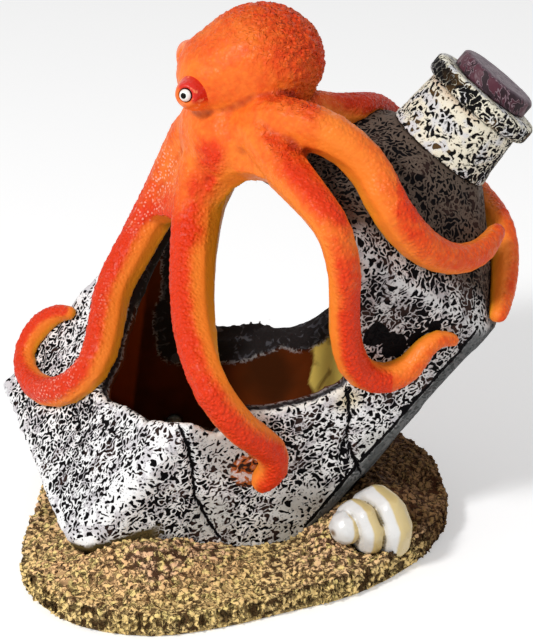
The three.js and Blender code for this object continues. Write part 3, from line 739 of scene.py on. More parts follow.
@dataclass(frozen=True)
class BottleFrame:
    """The leaning bottle's own directions: along it, out of its upper face, out of its front."""

    foot: Place = (-0.0354, 0.0185, -0.0003)
    lean: float = math.radians(38.5)
    turn: float = math.radians(4.3)
    roll: float = math.radians(18.4)
    half_out: float = 0.0325
    half_side: float = 0.035
    body_length: float = 0.1015
    shoulder: float = 0.024
    squareness: int = 5

    def axes(self) -> Points:
        """Gives the three directions as rows.

        Returns:
            Along, out and side, each of length 1.
        """
        lean, turn, roll = self.lean, self.turn, self.roll
        along = np.array([math.cos(turn) * math.sin(lean), math.sin(turn) * math.sin(lean), math.cos(lean)])
        down = np.array([math.cos(turn) * math.cos(lean), math.sin(turn) * math.cos(lean), -math.sin(lean)])
        front = np.array([math.sin(turn), -math.cos(turn), 0.0])
        side = front * math.cos(roll) + down * math.sin(roll)
        out = front * math.sin(roll) - down * math.cos(roll)
        return np.array([along, out, side])

    def local(self, points: Points) -> Points:
        """Gives places as rows of along, out and side."""
        return (points - np.array(self.foot)) @ self.axes().T

    def outward(self, points: Points) -> Points:
        """Gives the direction that faces away from the bottle near each place.

        Args:
            points: The places.

        Returns:
            A unit row for each.
        """
        along, out, side = self.local(points).T
        past = np.maximum(0, along - self.body_length) / self.shoulder
        out, side = out / self.half_out, side / self.half_side
        rows = np.stack([
            np.minimum(1, past * 2) * 0.7,
            np.sign(out) * np.abs(out) ** self.squareness,
            np.sign(side) * np.abs(side) ** self.squareness,
        ], 1)
        return unit(rows) @ self.axes()


BOTTLE = BottleFrame()


def unit(rows: Points) -> Points:
    """Gives rows the length 1."""
    return rows / np.maximum(np.linalg.norm(rows, axis=1), 1e-9)[:, None]


def near(points: Points, place: Place, core: float, reach: float) -> Points:
    """Marks a round spot.

    Args:
        points: The points, in metres.
        place: The spot's middle, in millimetres.
        core: How far from the middle the mark is 1, in millimetres.
        reach: From where it is 0, in millimetres.

    Returns:
        The mark at each point.
    """
    return 1 - smooth(np.linalg.norm(points * 1000 - np.array(place), axis=1), core, reach)


def away_from(points: Points, line: Line) -> Points:
    """Measures how far places lie from a line of joined places.

    Args:
        points: The places, in metres.
        line: The line's places, in millimetres.

    Returns:
        The distances in metres.
    """
    rows = np.array(line) * MM
    nearest = np.full(len(points), 1.0)
    for start, end in zip(rows, rows[1:]):
        span = end - start
        share = np.clip((points - start) @ span / (span @ span), 0, 1)
        nearest = np.minimum(nearest, np.linalg.norm(points - start - share[:, None] * span, axis=1))
    return nearest


def hollowness(piece: bpy.types.Object, rounds: int, full: float) -> Points:
    """Finds the creases of a skin.

    Args:
        piece: The piece.
        rounds: How wide a crease counts, in rounds of averaging.
        full: How deep a crease is at 1, in metres.

    Returns:
        About 1 in creases, 0 on flat skin and -1 on ridges.
    """
    points = points_of(piece)
    rise = ((even(piece, points, rounds) - points) * normals_of(piece)).sum(1)
    return np.clip(even(piece, rise, 2) / full, -1, 1)


# Octopus


@dataclass(frozen=True)
class OctopusFinish:
    """Painted skin: orange flanks, a red warty crest, a yellow underside and painted highlights as pale
    glints on the warts.
    """

    flank: Colour = paint(251, 134, 44)
    crest: Colour = paint(232, 56, 12)
    underside: Colour = paint(240, 158, 34)
    crease: Colour = paint(150, 34, 4)
    glint: Colour = paint(255, 196, 176)
    wart_scale: float = 1050.0
    wart_depth: float = 0.34 * MM
    fold_scale: float = 620.0
    fold_depth: float = 0.36 * MM

    def make(self) -> bpy.types.Material:
        """Writes the material.

        Returns:
            The material.
        """
        coat = Coat("octopus_skin", 0.46)
        sheet = coat.sheet
        clouds = coat.effect(Effect.CLOUDS, scale=110.0, cover=0.5)
        fine = coat.effect(Effect.CLOUDS, scale=520.0, cover=0.42)
        warts = coat.effect(Effect.WARTS, scale=self.wart_scale)
        crest = sheet.read("crest")
        ragged = sheet.swing(clouds["Value"], 0.7)
        grain = sheet.swing(fine["Value"], 0.5)
        streak = sheet.plus(crest, sheet.plus(ragged, grain))
        colour = sheet.mix(sheet.ease(streak, 0.1, 1.0), self.flank, self.crest)
        colour = sheet.mix(sheet.read("under"), colour, self.underside)
        low = sheet.ease(warts["Height"], 0.0, 0.4, 0.22, 0.0)
        colour = sheet.mix(sheet.times(low, crest), colour, self.crease)
        dents = sheet.ease(sheet.read("crease"), 0.12, 0.9, 0.0, 0.75)
        colour = sheet.mix(dents, colour, self.crease)
        # Painted highlight: pale glints on the wart tops at the stored glint spots
        painted_glints = sheet.times(sheet.read("glint"), sheet.ease(warts["Height"], 0.5, 0.9))
        coat.colour(sheet.mix(painted_glints, colour, self.glint))
        coat.roughness(sheet.spread(fine["Value"], 0.36, 0.56))
        creases = coat.effect(Effect.PITS, scale=self.fold_scale, reach=0.36)["Pit"]
        coat.bump(sheet.times(sheet.less(1.0, creases), sheet.read("wrinkle")), self.fold_depth)
        coat.bump(sheet.times(warts["Height"], sheet.read("rough")), self.wart_depth)
        coat.bump(fine["Value"], 0.3 * MM, 0.4)
        return coat.set(specular_ior_level=0.18, coat_weight=0.03, coat_roughness=0.2).material


@dataclass
class Octopus:
    """The octopus: a mantle, a web and eight arms in one cast skin."""

    voxel: float = 0.64 * MM
    gap: float = 0.3 * MM
    wart: float = 0.3 * MM
    wart_scale: float = 820.0
    wrinkle: float = 0.62 * MM
    wrinkle_scale: float = 560.0
    uneven: float = 0.14 * MM
    mantle: Place = (-0.0012, 0.0175, 0.123)
    mantle_radii: Place = (0.0154, 0.0146, 0.0138)
    glint_places: tuple[Place, ...] = (
        (-27, 26, 92), (-33, 24, 83), (-43, 12, 66), (-51, 14, 45), (-57, 10, 33))
    red_bands: tuple[Line, ...] = (
        ((-13.5, 6, 109), (-13, 4.5, 102), (-15, 6.5, 94), (-17, 3, 84)),
        ((-1.6, -1.3, 113), (4, -9, 108.5), (11, -17, 104), (17, -21, 98)))
    nodes: tuple[str, ...] = (
        "octopus_head", "octopus_web", "arm_left_loop", "arm_front", "arm_right_curl",
        "arm_shoulder", "arm_neck", "arm_rear_right", "arm_rear_middle", "arm_rear_left",
    )

    def build(self) -> None:
        """Builds and dresses the octopus."""
        skin = remeshed("octopus_body", self.nodes, self.voxel, 3, self.gap)
        self._zones(skin)
        sculpted(skin, self.wart, self._warts, "crest")
        sculpted(skin, self.wrinkle, self._wrinkles, "wrinkle")
        sculpted(skin, self.uneven, bumpy(480.0))
        store(skin, "crease", hollowness(skin, 8, 0.4 * MM))
        finished(skin, OctopusFinish().make(), self.nodes)

    def _zones(self, skin: bpy.types.Object) -> None:
        """Stores where the crest, the underside, the rough skin and the painted glints are.

        Args:
            skin: The octopus's skin.
        """
        # From here on x, y and z are in millimetres
        points, normals = points_of(skin), unit(even(skin, normals_of(skin), 6))
        x, y, z = points.T * 1000
        lean = 0.35 * np.tanh(x / 8)
        facing = (normals * BOTTLE.outward(points)).sum(1) + lean * normals[:, 0]
        reach = np.linalg.norm((points - self.mantle) / self.mantle_radii, axis=1)
        snout = smooth(z, 104, 109) * (1 - smooth(x, 10, 15))
        head = np.maximum(1 - smooth(reach, 1.06, 1.3), snout)
        over = normals @ np.array([0.75, 0.3, 0.6])
        wrinkle = head * smooth(over, -0.5, 0.6)
        high = smooth(z, 74, 100)
        neck_side = smooth(x, 12, 20) * smooth(y, 16, 24) * smooth(z, 88, 96)
        arms = np.where(x > 30, 0.6, 1 - 0.65 * high) + 0.5 * neck_side
        ridge = np.clip(-hollowness(skin, 30, 1.1 * MM), 0, 1) * high * smooth(facing, 0.2, 0.9)
        bands = sum(1 - smooth(away_from(points, band), 1 * MM, 6 * MM) for band in self.red_bands)
        red = smooth(facing, 0.05, 1.0) * np.clip(arms, 0, 1) + 0.5 * (ridge + bands)
        crest = np.clip(red * (1 - head), 0, 1) + (0.42 + 0.3 * smooth(over, -0.7, 0.6)) * head
        # Spots of painted highlight on the arms' side that faces away from the bottle
        glint = np.max([near(points, spot, 4, 11) for spot in self.glint_places], axis=0)
        store(skin, "crest", crest)
        store(skin, "glint", 0.6 * glint * smooth(facing, 0.3, 0.8))
        store(skin, "wrinkle", wrinkle)
        store(skin, "rough", np.clip(0.12 + 0.8 * np.maximum(crest * (1 - head), wrinkle), 0, 1))
        store(skin, "under", smooth(-facing, -0.05, 0.8) * (1 - head))

    def _warts(self, sheet: Sheet, place: Socket) -> Socket:
        """Writes rounded warts of about a millimetre."""
        return sheet.less(Grains().write(sheet, place, self.wart_scale)[0], 0.4)

    def _wrinkles(self, sheet: Sheet, place: Socket) -> Socket:
        """Writes leathery folds: sharp hollows between soft lumps.

        Args:
            sheet: The tree.
            place: The place.

        Returns:
            The height, low in a fold.
        """
        value = sheet.noise(place, self.wrinkle_scale, 1.5, 0.7)
        fold = sheet.size(sheet.less(value, 0.5))
        return sheet.less(sheet.ease(fold, 0.0, 0.12), 0.75)


def lathed(name: str, profile: Profile, centre: Vector, axis: Vector, steps: int) -> bpy.types.Object:
    """Turns a profile round an axis into a closed piece.

    Args:
        name: The piece's name.
        profile: Rows of distance from the axis and height along it, in millimetres.
        centre: The place of height 0.
        axis: The direction of the axis.
        steps: How many sides it has.

    Returns:
        The piece.
    """
    bpy.ops.object.select_all(action="DESELECT")
    bpy.ops.mesh.primitive_plane_add(size=MM)
    piece = bpy.context.object
    piece.name = name
    with editing():
        bpy.ops.mesh.delete(type="ONLY_FACE")
        bpy.ops.mesh.select_all(action="SELECT")
        bpy.ops.mesh.merge(type="CENTER")
        for _ in profile[1:]:
            bpy.ops.mesh.extrude_vertices_move()
    order = chain_of(piece)
    points = np.zeros((len(order), 3))
    for vertex, (radius, height) in zip(order, profile):
        points[vertex] = (radius * MM, 0, height * MM)
    place_points(piece, points)
    worked(piece, "SCREW", axis="Z", steps=steps, render_steps=steps, use_merge_vertices=True,
           merge_threshold=0.001 * MM)
    with editing():
        bpy.ops.mesh.remove_doubles(threshold=0.001 * MM)
        bpy.ops.mesh.normals_make_consistent(inside=False)
    turn = axis.normalized().to_track_quat("Z", "Y").to_matrix().to_4x4()
    piece.data.transform(Matrix.Translation(centre) @ turn)
    bpy.ops.object.shade_smooth()
    return piece


def chain_of(piece: bpy.types.Object) -> list[int]:
    """Gives the vertices of an open line in order.

    Args:
        piece: A piece whose edges are one open line.

    Returns:
        The vertex numbers from one end to the other.
    """
    beside: dict[int, list[int]] = {}
    for edge in piece.data.edges:
        first, second = edge.vertices
        beside.setdefault(first, []).append(second)
        beside.setdefault(second, []).append(first)
    at = min(v for v, others in beside.items() if len(others) == 1)
    order = [at]
    while len(order) < len(piece.data.vertices):
        at = next(v for v in beside[at] if v not in order)
        order.append(at)
    return order


class Flank(Enum):
    """The side of the head that an eye is on."""

    FRONT = "front"
    REAR = "rear"


@dataclass(frozen=True)
class EyeFinishes:
    """Paint of the eyes: an orange and red lid, a white ball and a black pupil."""

    lid: Colour = paint(216, 34, 12)
    lid_foot: Colour = paint(246, 112, 34)
    lid_worn: Colour = paint(252, 150, 96)
    ball: Colour = paint(250, 248, 244)
    ball_stained: Colour = paint(226, 212, 196)
    rim: Colour = paint(44, 20, 14)
    pupil: Colour = paint(8, 7, 8)
    pupil_worn: Colour = paint(24, 18, 18)
    ragged: float = 1.6 * MM
    red_edge: float = 0.8 * MM

    def lid_paint(self, centre: Vector, red_way: Vector, red_from: float) -> bpy.types.Material:
        """Writes the lid's material, orange on one side and red on the other.

        Args:
            centre: The lid's centre.
            red_way: The direction in which it turns red.
            red_from: How far that way it turns red, in metres.

        Returns:
            The material.
        """
        coat = Coat("eyelid_skin", 0.42)
        sheet, place = coat.sheet, coat.place
        clouds = coat.effect(Effect.CLOUDS, scale=420.0, cover=0.2)
        warts = coat.effect(Effect.WARTS, scale=1300.0)
        along = self._along(sheet, place, centre, red_way)
        ragged = sheet.plus(along, sheet.swing(clouds["Value"], self.ragged))
        red = sheet.ease(ragged, red_from - self.red_edge, red_from + self.red_edge)
        colour = sheet.mix(red, self.lid_foot, self.lid)
        coat.colour(sheet.mix(sheet.times(clouds["Mask"], 0.7), colour, self.lid_worn))
        coat.roughness(sheet.spread(clouds["Value"], 0.34, 0.5))
        coat.bump(warts["Height"], 0.1 * MM, 0.7)
        return coat.set(specular_ior_level=0.35, coat_weight=0.1, coat_roughness=0.2).material

    @staticmethod
    def _along(sheet: Sheet, place: Socket, centre: Vector, look: Vector) -> Socket:
        """Measures how far a place lies ahead of a centre.

        Args:
            sheet: The tree.
            place: The place.
            centre: The centre.
            look: The direction that counts as ahead.

        Returns:
            The distance in metres.
        """
        away = sheet.vector("SUBTRACT", place, tuple(centre)).outputs[0]
        return sheet.vector("DOT_PRODUCT", away, tuple(look)).outputs["Value"]

    def ball_paint(self, centre: Vector, look: Vector) -> bpy.types.Material:
        """Writes the ball's material, with a dark ring beside the lid.

        Args:
            centre: The ball's centre.
            look: Where the eye looks.

        Returns:
            The material.
        """
        coat = Coat("eyeball_paint", 0.22)
        sheet, place = coat.sheet, coat.place
        along = self._along(sheet, place, centre, look)
        height = sheet.plus(along, sheet.times(sheet.noise(place, 900.0, 1.0), 0.3 * MM))
        ring = sheet.ease(height, 0.7 * MM, 0.5 * MM)
        stain = sheet.noise(place, 500.0, 2.0)
        white = sheet.mix(sheet.ease(stain, 0.5, 0.8), self.ball, self.ball_stained)
        coat.colour(sheet.mix(ring, white, self.rim))
        coat.roughness(sheet.spread(stain, 0.16, 0.3))
        coat.bump(stain, 0.03 * MM, 0.5)
        return coat.set(coat_weight=0.3, coat_roughness=0.1).material

    def pupil_paint(self) -> bpy.types.Material:
        """Writes the pupil's material.

        Returns:
            The material.
        """
        coat = Coat("pupil_paint", 0.25)
        sheet = coat.sheet
        stain = sheet.noise(coat.place, 1400.0, 2.0)
        coat.colour(sheet.mix(sheet.ease(stain, 0.4, 0.7), self.pupil, self.pupil_worn))
        coat.roughness(sheet.spread(stain, 0.2, 0.34))
        coat.bump(stain, 0.02 * MM, 0.4)
        return coat.set(specular_ior_level=0.05).material


@dataclass
class Eye:
    """One eye: a swollen lid ring, the ball in it and the pupil on the ball."""

    flank: Flank
    lid_centre: Vector
    look: Vector
    lid_profile: Profile = (
        (0, -3.4), (2.6, -3.3), (4.1, -2.6), (4.5, -1.6), (4.1, -0.3), (3.6, 1.0), (3.15, 2.1),
        (2.7, 2.8), (2.3, 3.1), (1.95, 3.1), (1.7, 2.9), (1.6, 2.4), (1.6, 1.6), (0, 1.3))
    lid_uneven: float = 0.16 * MM
    sides: int = 32
    ball_sides: int = 40
    ball_ahead: float = 2.7 * MM
    ball_radius: float = 1.55
    ball_steps: int = 15
    ball_flat: Profile = ((0.5, 1.42), (0.4, 1.38), (0.0, 1.37))
    pupil_ahead: float = 1.3 * MM
    pupil_profile: Profile = (
        (0, -0.4), (0.5, -0.38), (0.66, -0.2), (0.72, 0.0), (0.69, 0.14), (0.6, 0.26),
        (0.42, 0.36), (0.2, 0.41), (0, 0.42))
    red_way: Vector = field(default_factory=lambda: Vector((0.45, -0.4, 0.8)))
    red_from: float = 0.9 * MM
    finishes: EyeFinishes = field(default_factory=EyeFinishes)

    def build(self) -> None:
        """Builds the lid, the ball and the pupil."""
        look = self.look.normalized()
        ball_centre = self.lid_centre + look * self.ball_ahead
        self._lid(look)
        self._ball(ball_centre, look)
        self._pupil(ball_centre + look * self.pupil_ahead, look)

    def _lid(self, look: Vector) -> None:
        """Turns the lid: a mound with a rolled rim round the ball.

        Args:
            look: Where the eye looks.
        """
        lid = lathed(f"eyelid_skin_{self.flank.value}", self.lid_profile, self.lid_centre, look, self.sides)
        worked(lid, "SUBSURF", levels=2, render_levels=2)
        sculpted(lid, self.lid_uneven, bumpy(700.0))
        finish = self.finishes.lid_paint(self.lid_centre, self.red_way.normalized(), self.red_from)
        finished(lid, finish, [f"eyelid_{self.flank.value}"])

    def _ball(self, centre: Vector, look: Vector) -> None:
        """Turns the ball, with a flat for the pupil.

        Args:
            centre: The ball's centre.
            look: Where the eye looks.
        """
        angles = [math.pi * step / self.ball_steps for step in range(1, self.ball_steps - 1)]
        arc = [(self.ball_radius * math.sin(angle), -self.ball_radius * math.cos(angle)) for angle in angles]
        profile = [(0.0, -self.ball_radius), *arc, *self.ball_flat]
        ball = lathed(f"eyeball_{self.flank.value}_painted", profile, centre, look, self.ball_sides)
        finished(ball, self.finishes.ball_paint(centre, look), [f"eyeball_{self.flank.value}"])

    def _pupil(self, centre: Vector, look: Vector) -> None:
        """Turns the pupil, a domed button.

        Args:
            centre: The pupil's centre.
            look: Where the eye looks.
        """
        pupil = lathed(f"pupil_{self.flank.value}_painted", self.pupil_profile, centre, look, self.sides)
        finished(pupil, self.finishes.pupil_paint(), [f"pupil_{self.flank.value}"])


# Bottle


@dataclass(frozen=True)
class StoneFinish:
    """Worn stone paint: a pale net over black pits, a brown hollow with painted shade and an ochre patch of
    painted light, dark breaks, and painted shade and shadow outside.
    """

    net: Colour = paint(248, 248, 248)
    net_tint: Colour = paint(206, 202, 206)
    shaded_net: Colour = paint(98, 84, 74)
    pit: Colour = paint(10, 9, 11)
    pit_tint: Colour = paint(52, 38, 34)
    lip: Colour = paint(244, 240, 230)
    bare: Colour = paint(200, 200, 196)
    cream: Colour = paint(236, 222, 184)
    foot: Colour = paint(96, 82, 50)
    shade_strip: Colour = paint(84, 86, 86)
    broken: Colour = paint(40, 35, 35)
    smear: Colour = paint(112, 112, 120)
    hollow: Colour = paint(98, 42, 10)
    hollow_dark: Colour = paint(66, 30, 8)
    ochre: Colour = paint(255, 224, 112)
    glow: Colour = paint(150, 64, 18)
    patch: Colour = paint(186, 100, 46)
    patch_pale: Colour = paint(228, 214, 212)
    pit_scale: float = 820.0
    speck_scale: float = 1500.0
    pit_depth: float = 0.4 * MM
    grain_depth: float = 0.25 * MM

    def make(self) -> bpy.types.Material:
        """Writes the material.

        Returns:
            The material.
        """
        coat = Coat("weathered_stone", 0.6)
        sheet, place = coat.sheet, coat.place
        hollow = sheet.read("inside")
        crack = self._crack(sheet, place)
        pits, outside = self._outside(coat, place, crack)
        smears = sheet.ease(sheet.noise(place, 380.0, 3.0, 0.8), 0.56, 0.66, 0.0, 0.45)
        face = sheet.mix(smears, self.broken, self.smear)
        # Inside the hollow: brown paint, darkened as painted shade, with an ochre patch of painted light
        # where light falls through the break
        deep = sheet.ease(sheet.noise(place, 60.0, 2.0), 0.35, 0.65)
        inside = sheet.mix(deep, self.hollow, self.hollow_dark)
        patchy_light = sheet.ease(sheet.noise(place, 110.0, 4.0, 0.6), 0.52, 0.72, 0.0, 0.7)
        inside = sheet.mix(sheet.read("ochre"), inside, sheet.mix(patchy_light, self.ochre, self.hollow))
        inside = sheet.mix(sheet.read("glow"), inside, self.glow)
        colour = sheet.mix(sheet.read("broken"), outside, face)
        coat.colour(sheet.mix(hollow, colour, inside))
        coat.roughness(sheet.blend(sheet.most(pits, hollow), 0.55, 0.85))
        worn = sheet.times(sheet.most(pits, crack), sheet.read("outside"))
        coat.bump(sheet.less(1.0, worn), self.pit_depth)
        grain = sheet.times(sheet.noise(place, 700.0, 3.0), sheet.ease(hollow, 0.0, 1.0, 1.0, 0.25))
        coat.bump(grain, self.grain_depth, 0.6)
        return coat.set(specular_ior_level=0.05).material

    @staticmethod
    def _crack(sheet: Sheet, place: Socket) -> Socket:
        """Writes the cracks from the stored distance to them.

        Args:
            sheet: The tree.
            place: The place.

        Returns:
            1 in a crack and 0 beside it.
        """
        ragged = sheet.swing(sheet.noise(place, 600.0, 2.0), 1.2 * MM)
        away = sheet.size(sheet.plus(sheet.read("crack"), ragged))
        return sheet.times(sheet.ease(away, 0.5 * MM, 0.3 * MM), sheet.read("near_crack"))

    def _outside(self, coat: Coat, place: Socket, crack: Socket) -> tuple[Socket, Socket]:
        """Writes the worn outer skin.

        Args:
            coat: The material.
            place: The place.
            crack: 1 in a crack.

        Returns:
            1 in pits, and the colour.
        """
        sheet = coat.sheet
        broad = coat.effect(Effect.CLOUDS, scale=85.0, cover=0.5)
        small = coat.effect(Effect.CLOUDS, scale=240.0, cover=0.35)
        rust = coat.effect(Effect.CLOUDS, scale=120.0, cover=0.22)
        lip = sheet.read("lip")
        reach = sheet.plus(sheet.read("wear"), sheet.spread(broad["Value"], -0.12, 0.12))
        reach = sheet.plus(reach, sheet.spread(small["Value"], -0.08, 0.08))
        reach = sheet.less(reach, sheet.times(sheet.most(sheet.read("ridge"), lip), 0.4))
        pits = coat.effect(Effect.PITS, scale=self.pit_scale, reach=reach)["Pit"]
        specks = coat.effect(Effect.PITS, scale=self.speck_scale, reach=sheet.less(reach, 0.25))["Pit"]
        net = sheet.mix(sheet.times(small["Mask"], 0.8), self.net, self.net_tint)
        net = sheet.mix(sheet.times(sheet.read("bare"), 0.85), net, self.bare)
        net = sheet.mix(sheet.times(lip, 0.8), net, self.lip)
        net = sheet.mix(sheet.read("cream"), net, self.cream)
        # Painted shade: a dark brown net near the neck, on the upper face toward the shoulder and at the
        # right end
        net = sheet.mix(sheet.read("painted_shade"), net, self.shaded_net)
        dark = sheet.mix(rust["Mask"], self.pit, self.pit_tint)
        colour = sheet.mix(sheet.times(specks, 0.5), net, dark)
        colour = sheet.mix(pits, colour, dark)
        # Painted shade: brownish on the under face at the bottle's foot, just above the sand
        colour = sheet.mix(sheet.read("foot"), colour, self.foot)
        # Painted shade: dark grey on the narrow under face along the lower right edge
        shade_strip = sheet.times(sheet.read("shade_strip"), sheet.ease(small["Value"], 0.4, 0.62, 1.0, 0.86))
        colour = sheet.mix(shade_strip, colour, self.shade_strip)
        # Painted shadow: black dabs on the front below the shoulder, under the curled arm, and a black line
        # of painted shade along the top edge of the shaded under face
        painted_shadow = sheet.less(sheet.read("painted_shadow"), sheet.times(small["Value"], 0.7))
        colour = sheet.mix(sheet.ease(painted_shadow, 0.0, 0.06), colour, self.pit)
        torn = sheet.noise(place, 500.0, 3.0, 1.0)
        shape = sheet.less(sheet.read("patch"), sheet.times(torn, 0.72))
        stain = sheet.mix(sheet.ease(torn, 0.5, 0.62), self.patch, self.patch_pale)
        stain = sheet.mix(sheet.ease(torn, 0.48, 0.4), stain, self.pit_tint)
        colour = sheet.mix(sheet.ease(shape, 0.0, 0.08), colour, stain)
        return pits, sheet.mix(crack, colour, self.pit)


@dataclass(frozen=True)
class Cracks:
    """The cracks in the bottle's skin, as rows of millimetres along, out and side."""

    front: tuple[Line, ...] = (
        ((42, 30.6, 33.6), (41.2, 29, 35), (38.7, 25.2, 35), (34.4, 20.6, 35), (28.4, 15.1, 35),
         (24.7, 8.6, 35), (21.1, 1.2, 35)),
        ((71.5, 0.4, 35), (64.7, -6.4, 35), (60.7, -8.9, 35), (53.9, -12.6, 35)),
        ((60.7, -8.9, 35), (57, -14, 35), (53.9, -19.8, 35)),
    )
    upper: tuple[Line, ...] = (
        ((30, 32.5, -2), (24, 32.5, -3.5), (18.1, 32.5, -4.2), (16.5, 32.5, 4.7)),
    )

    def distances(self, local: Points) -> Points:
        """Measures how far places lie from the nearest crack, with a sign for the side of it.

        Args:
            local: Places as rows of along, out and side, in metres.

        Returns:
            The signed distances in metres.
        """
        nearest = np.full(len(local), 1.0)
        facing = [(line, (0, 0, 1)) for line in self.front] + [(line, (0, 1, 0)) for line in self.upper]
        for line, face in facing:
            rows = np.array(line) * MM
            for start, end in zip(rows, rows[1:]):
                span = end - start
                share = np.clip((local - start) @ span / (span @ span), 0, 1)
                gap = local - start - share[:, None] * span
                size = np.linalg.norm(gap, axis=1)
                side = np.sign(gap @ np.cross(span, face))
                closer = size < np.abs(nearest)
                nearest = np.where(closer, np.where(side < 0, -size, size), nearest)
        return nearest


@dataclass
class Bottle:
    """The broken bottle's shell, with hewn faces, cracks, a raised pale lip and worn pits."""

    voxel: float = 0.87 * MM
    wall: float = 4.6 * MM
    facet_scale: float = 42.0
    facet_bend: float = 4 * MM
    facet_rise: float = 0.4 * MM
    chip_rise: float = 0.35 * MM
    torn_rise: float = 0.5 * MM
    lip_rise: float = 0.4 * MM
    glow_rise: float = 0.4 * MM
    crack_depth: float = 0.8 * MM
    bare_dabs: Line = ((36, -15, 13), (46, 21, 10), (25, 7, 9), (62, -20, 9), (42, 14.5, 10))
    # Dabs of painted shadow: along, out and reach, in millimetres
    shadow_dabs: Line = ((87, 5, 6), (87, -1, 6), (91, -5, 4), (96, -7, 3))
    patch_place: Place = (41, 7, 34.8)
    patch_reach: float = 9
    cream_place: Place = (69, -2, 34.8)
    cream_reach: float = 5.5
    finish: StoneFinish = field(default_factory=StoneFinish)

    def build(self) -> None:
        """Builds and dresses the shell."""
        shell = remeshed("bottle_stone", ["bottle_shell"], self.voxel, 3)
        self._zones(shell)
        self._marks(shell)
        away = np.abs(stored(shell, "crack"))
        carved = self.crack_depth * (1 - smooth(away, 0.3 * MM, 0.9 * MM)) * stored(shell, "near_crack")
        raised = self.lip_rise * stored(shell, "lip") + self.glow_rise * stored(shell, "glow")
        swell(shell, raised - carved)
        sculpted(shell, self.facet_rise, self._ridge, "outside")
        sculpted(shell, self.chip_rise, bumpy(300.0), "outside")
        sculpted(shell, self.torn_rise, bumpy(160.0, twist=0.3), "broken")
        finished(shell, self.finish.make(), ["bottle_shell"])

    def _depths(self, shell: bpy.types.Object) -> Points:
        """Measures how far below the bottle's whole outer form each vertex lies.

        Args:
            shell: The shell.

        Returns:
            The depths in metres.
        """
        hull = traced("hull", ["bottle_shell"])
        with editing():
            bpy.ops.mesh.convex_hull()
        tree = BVHTree.FromObject(hull, bpy.context.evaluated_depsgraph_get())
        depths = np.array([tree.find_nearest(Vector(p))[3] for p in points_of(shell)])
        bpy.data.objects.remove(hull)
        return depths

    def _zones(self, shell: bpy.types.Object) -> None:
        """Stores where the outside, the hollow, the breaks, the lip and the ridges are.

        Args:
            shell: The shell.
        """
        points, depth = points_of(shell), self._depths(shell)
        along, _, side = BOTTLE.local(points).T
        inside = smooth(depth, self.wall * 0.62, self.wall * 0.86)
        broken = smooth(depth, self.wall * 0.22, self.wall * 0.36) * (1 - inside)
        edges = points[broken > 0.6]
        nearest = KDTree(len(edges))
        for i, point in enumerate(edges):
            nearest.insert(Vector(point), i)
        nearest.balance()
        away = np.array([nearest.find(Vector(p))[2] for p in points])
        outside = (1 - inside) * (1 - broken)
        soft = (1 - smooth(away, 1.5 * MM, 3.5 * MM)) * (0.35 + 0.65 * smooth(-side, 4 * MM, 10 * MM))
        place_points(shell, points + soft[:, None] * (even(shell, points, 16) - points))
        wave = 0.7 * MM * np.sin(along * 300)
        band = 1 - smooth(away + wave, 6.0 * MM, 6.8 * MM)
        rear = smooth(-side, 12 * MM, 16 * MM)
        band *= rear * smooth(along, 24 * MM, 28 * MM)
        outside *= 1 - rear * (1 - smooth(away, 1.6 * MM, 2.4 * MM))
        store(shell, "outside", outside)
        store(shell, "inside", inside * (1 - band))
        store(shell, "broken", 1 - np.maximum(inside * (1 - band), outside))
        store(shell, "lip", outside * (1 - smooth(away, 0.8 * MM, 1.9 * MM)))
        ridge = np.clip(-1.6 * hollowness(shell, 12, 0.4 * MM) - 0.15, 0, 1)
        store(shell, "ridge", outside * even(shell, ridge, 2))

    def _marks(self, shell: bpy.types.Object) -> None:
        """Stores where the cracks, the worn places, the painted patches, and the painted shade, shadow and
        light are.

        Args:
            shell: The shell.
        """
        # From here on along, out and side are in millimetres
        local = BOTTLE.local(points_of(shell))
        along, out, side = local.T * 1000
        inside = stored(shell, "inside")
        crack = Cracks().distances(local)
        store(shell, "crack", crack)
        store(shell, "near_crack", 1 - smooth(np.abs(crack), 1.6 * MM, 2.4 * MM))
        # Painted light: the ochre patch on the inner wall, where light falls through the break
        edge = 50 + np.maximum(0, -side - 13)
        store(shell, "ochre", inside * smooth(along - edge, -0.7, 0.7) * smooth(-out, 8, 14))
        glow = inside * smooth(-side, 20, 24) * smooth(out - 5 - 0.65 * (along - 21), -0.8, 0.8)
        store(shell, "glow", glow * smooth(along, 10, 14))
        # Painted shade near the neck, on the upper face toward the shoulder and at the right end
        upper = smooth(along, 79, 90) * smooth(side, -20, -8) * (1 - smooth(side, 26, 33))
        over = smooth(out, 26, 31) * smooth(along, 60, 80)
        right = smooth(along, 76, 92)
        store(shell, "painted_shade", np.clip(0.95 * upper + 0.5 * over + 0.35 * right, 0, 1))
        front = smooth(side, 0, 10) * smooth(along, 30, 36) * (1 - smooth(along, 99, 103))
        # Painted shade on the narrow under face along the lower right edge
        store(shell, "shade_strip", smooth(-out, 18.1, 18.5) * front * smooth(side, 10, 26))
        bare = self._dabs(along, out, self.bare_dabs, 0.4) * smooth(side, 28, 33)
        store(shell, "bare", bare)
        # Pits spread wider at the right end, deepening its painted shade, and less near the neck and on bare
        # patches
        store(shell, "wear", 0.4 + 0.1 * right - 0.14 * upper - 0.3 * bare)
        # Painted shade: a black line along the top edge of the shaded under face
        line = 0.9 * (1 - smooth(np.abs(out + 17.9), 0.2, 0.7)) * front
        # Painted shadow: black dabs on the front below the shoulder, under the curled arm
        painted_shadow = self._dabs(along, out, self.shadow_dabs, 0.0) * smooth(side, 25, 31)
        store(shell, "painted_shadow", np.maximum(line, painted_shadow))
        store(shell, "patch", near(local, self.patch_place, 0, self.patch_reach))
        store(shell, "cream", near(local, self.cream_place, 0, self.cream_reach))
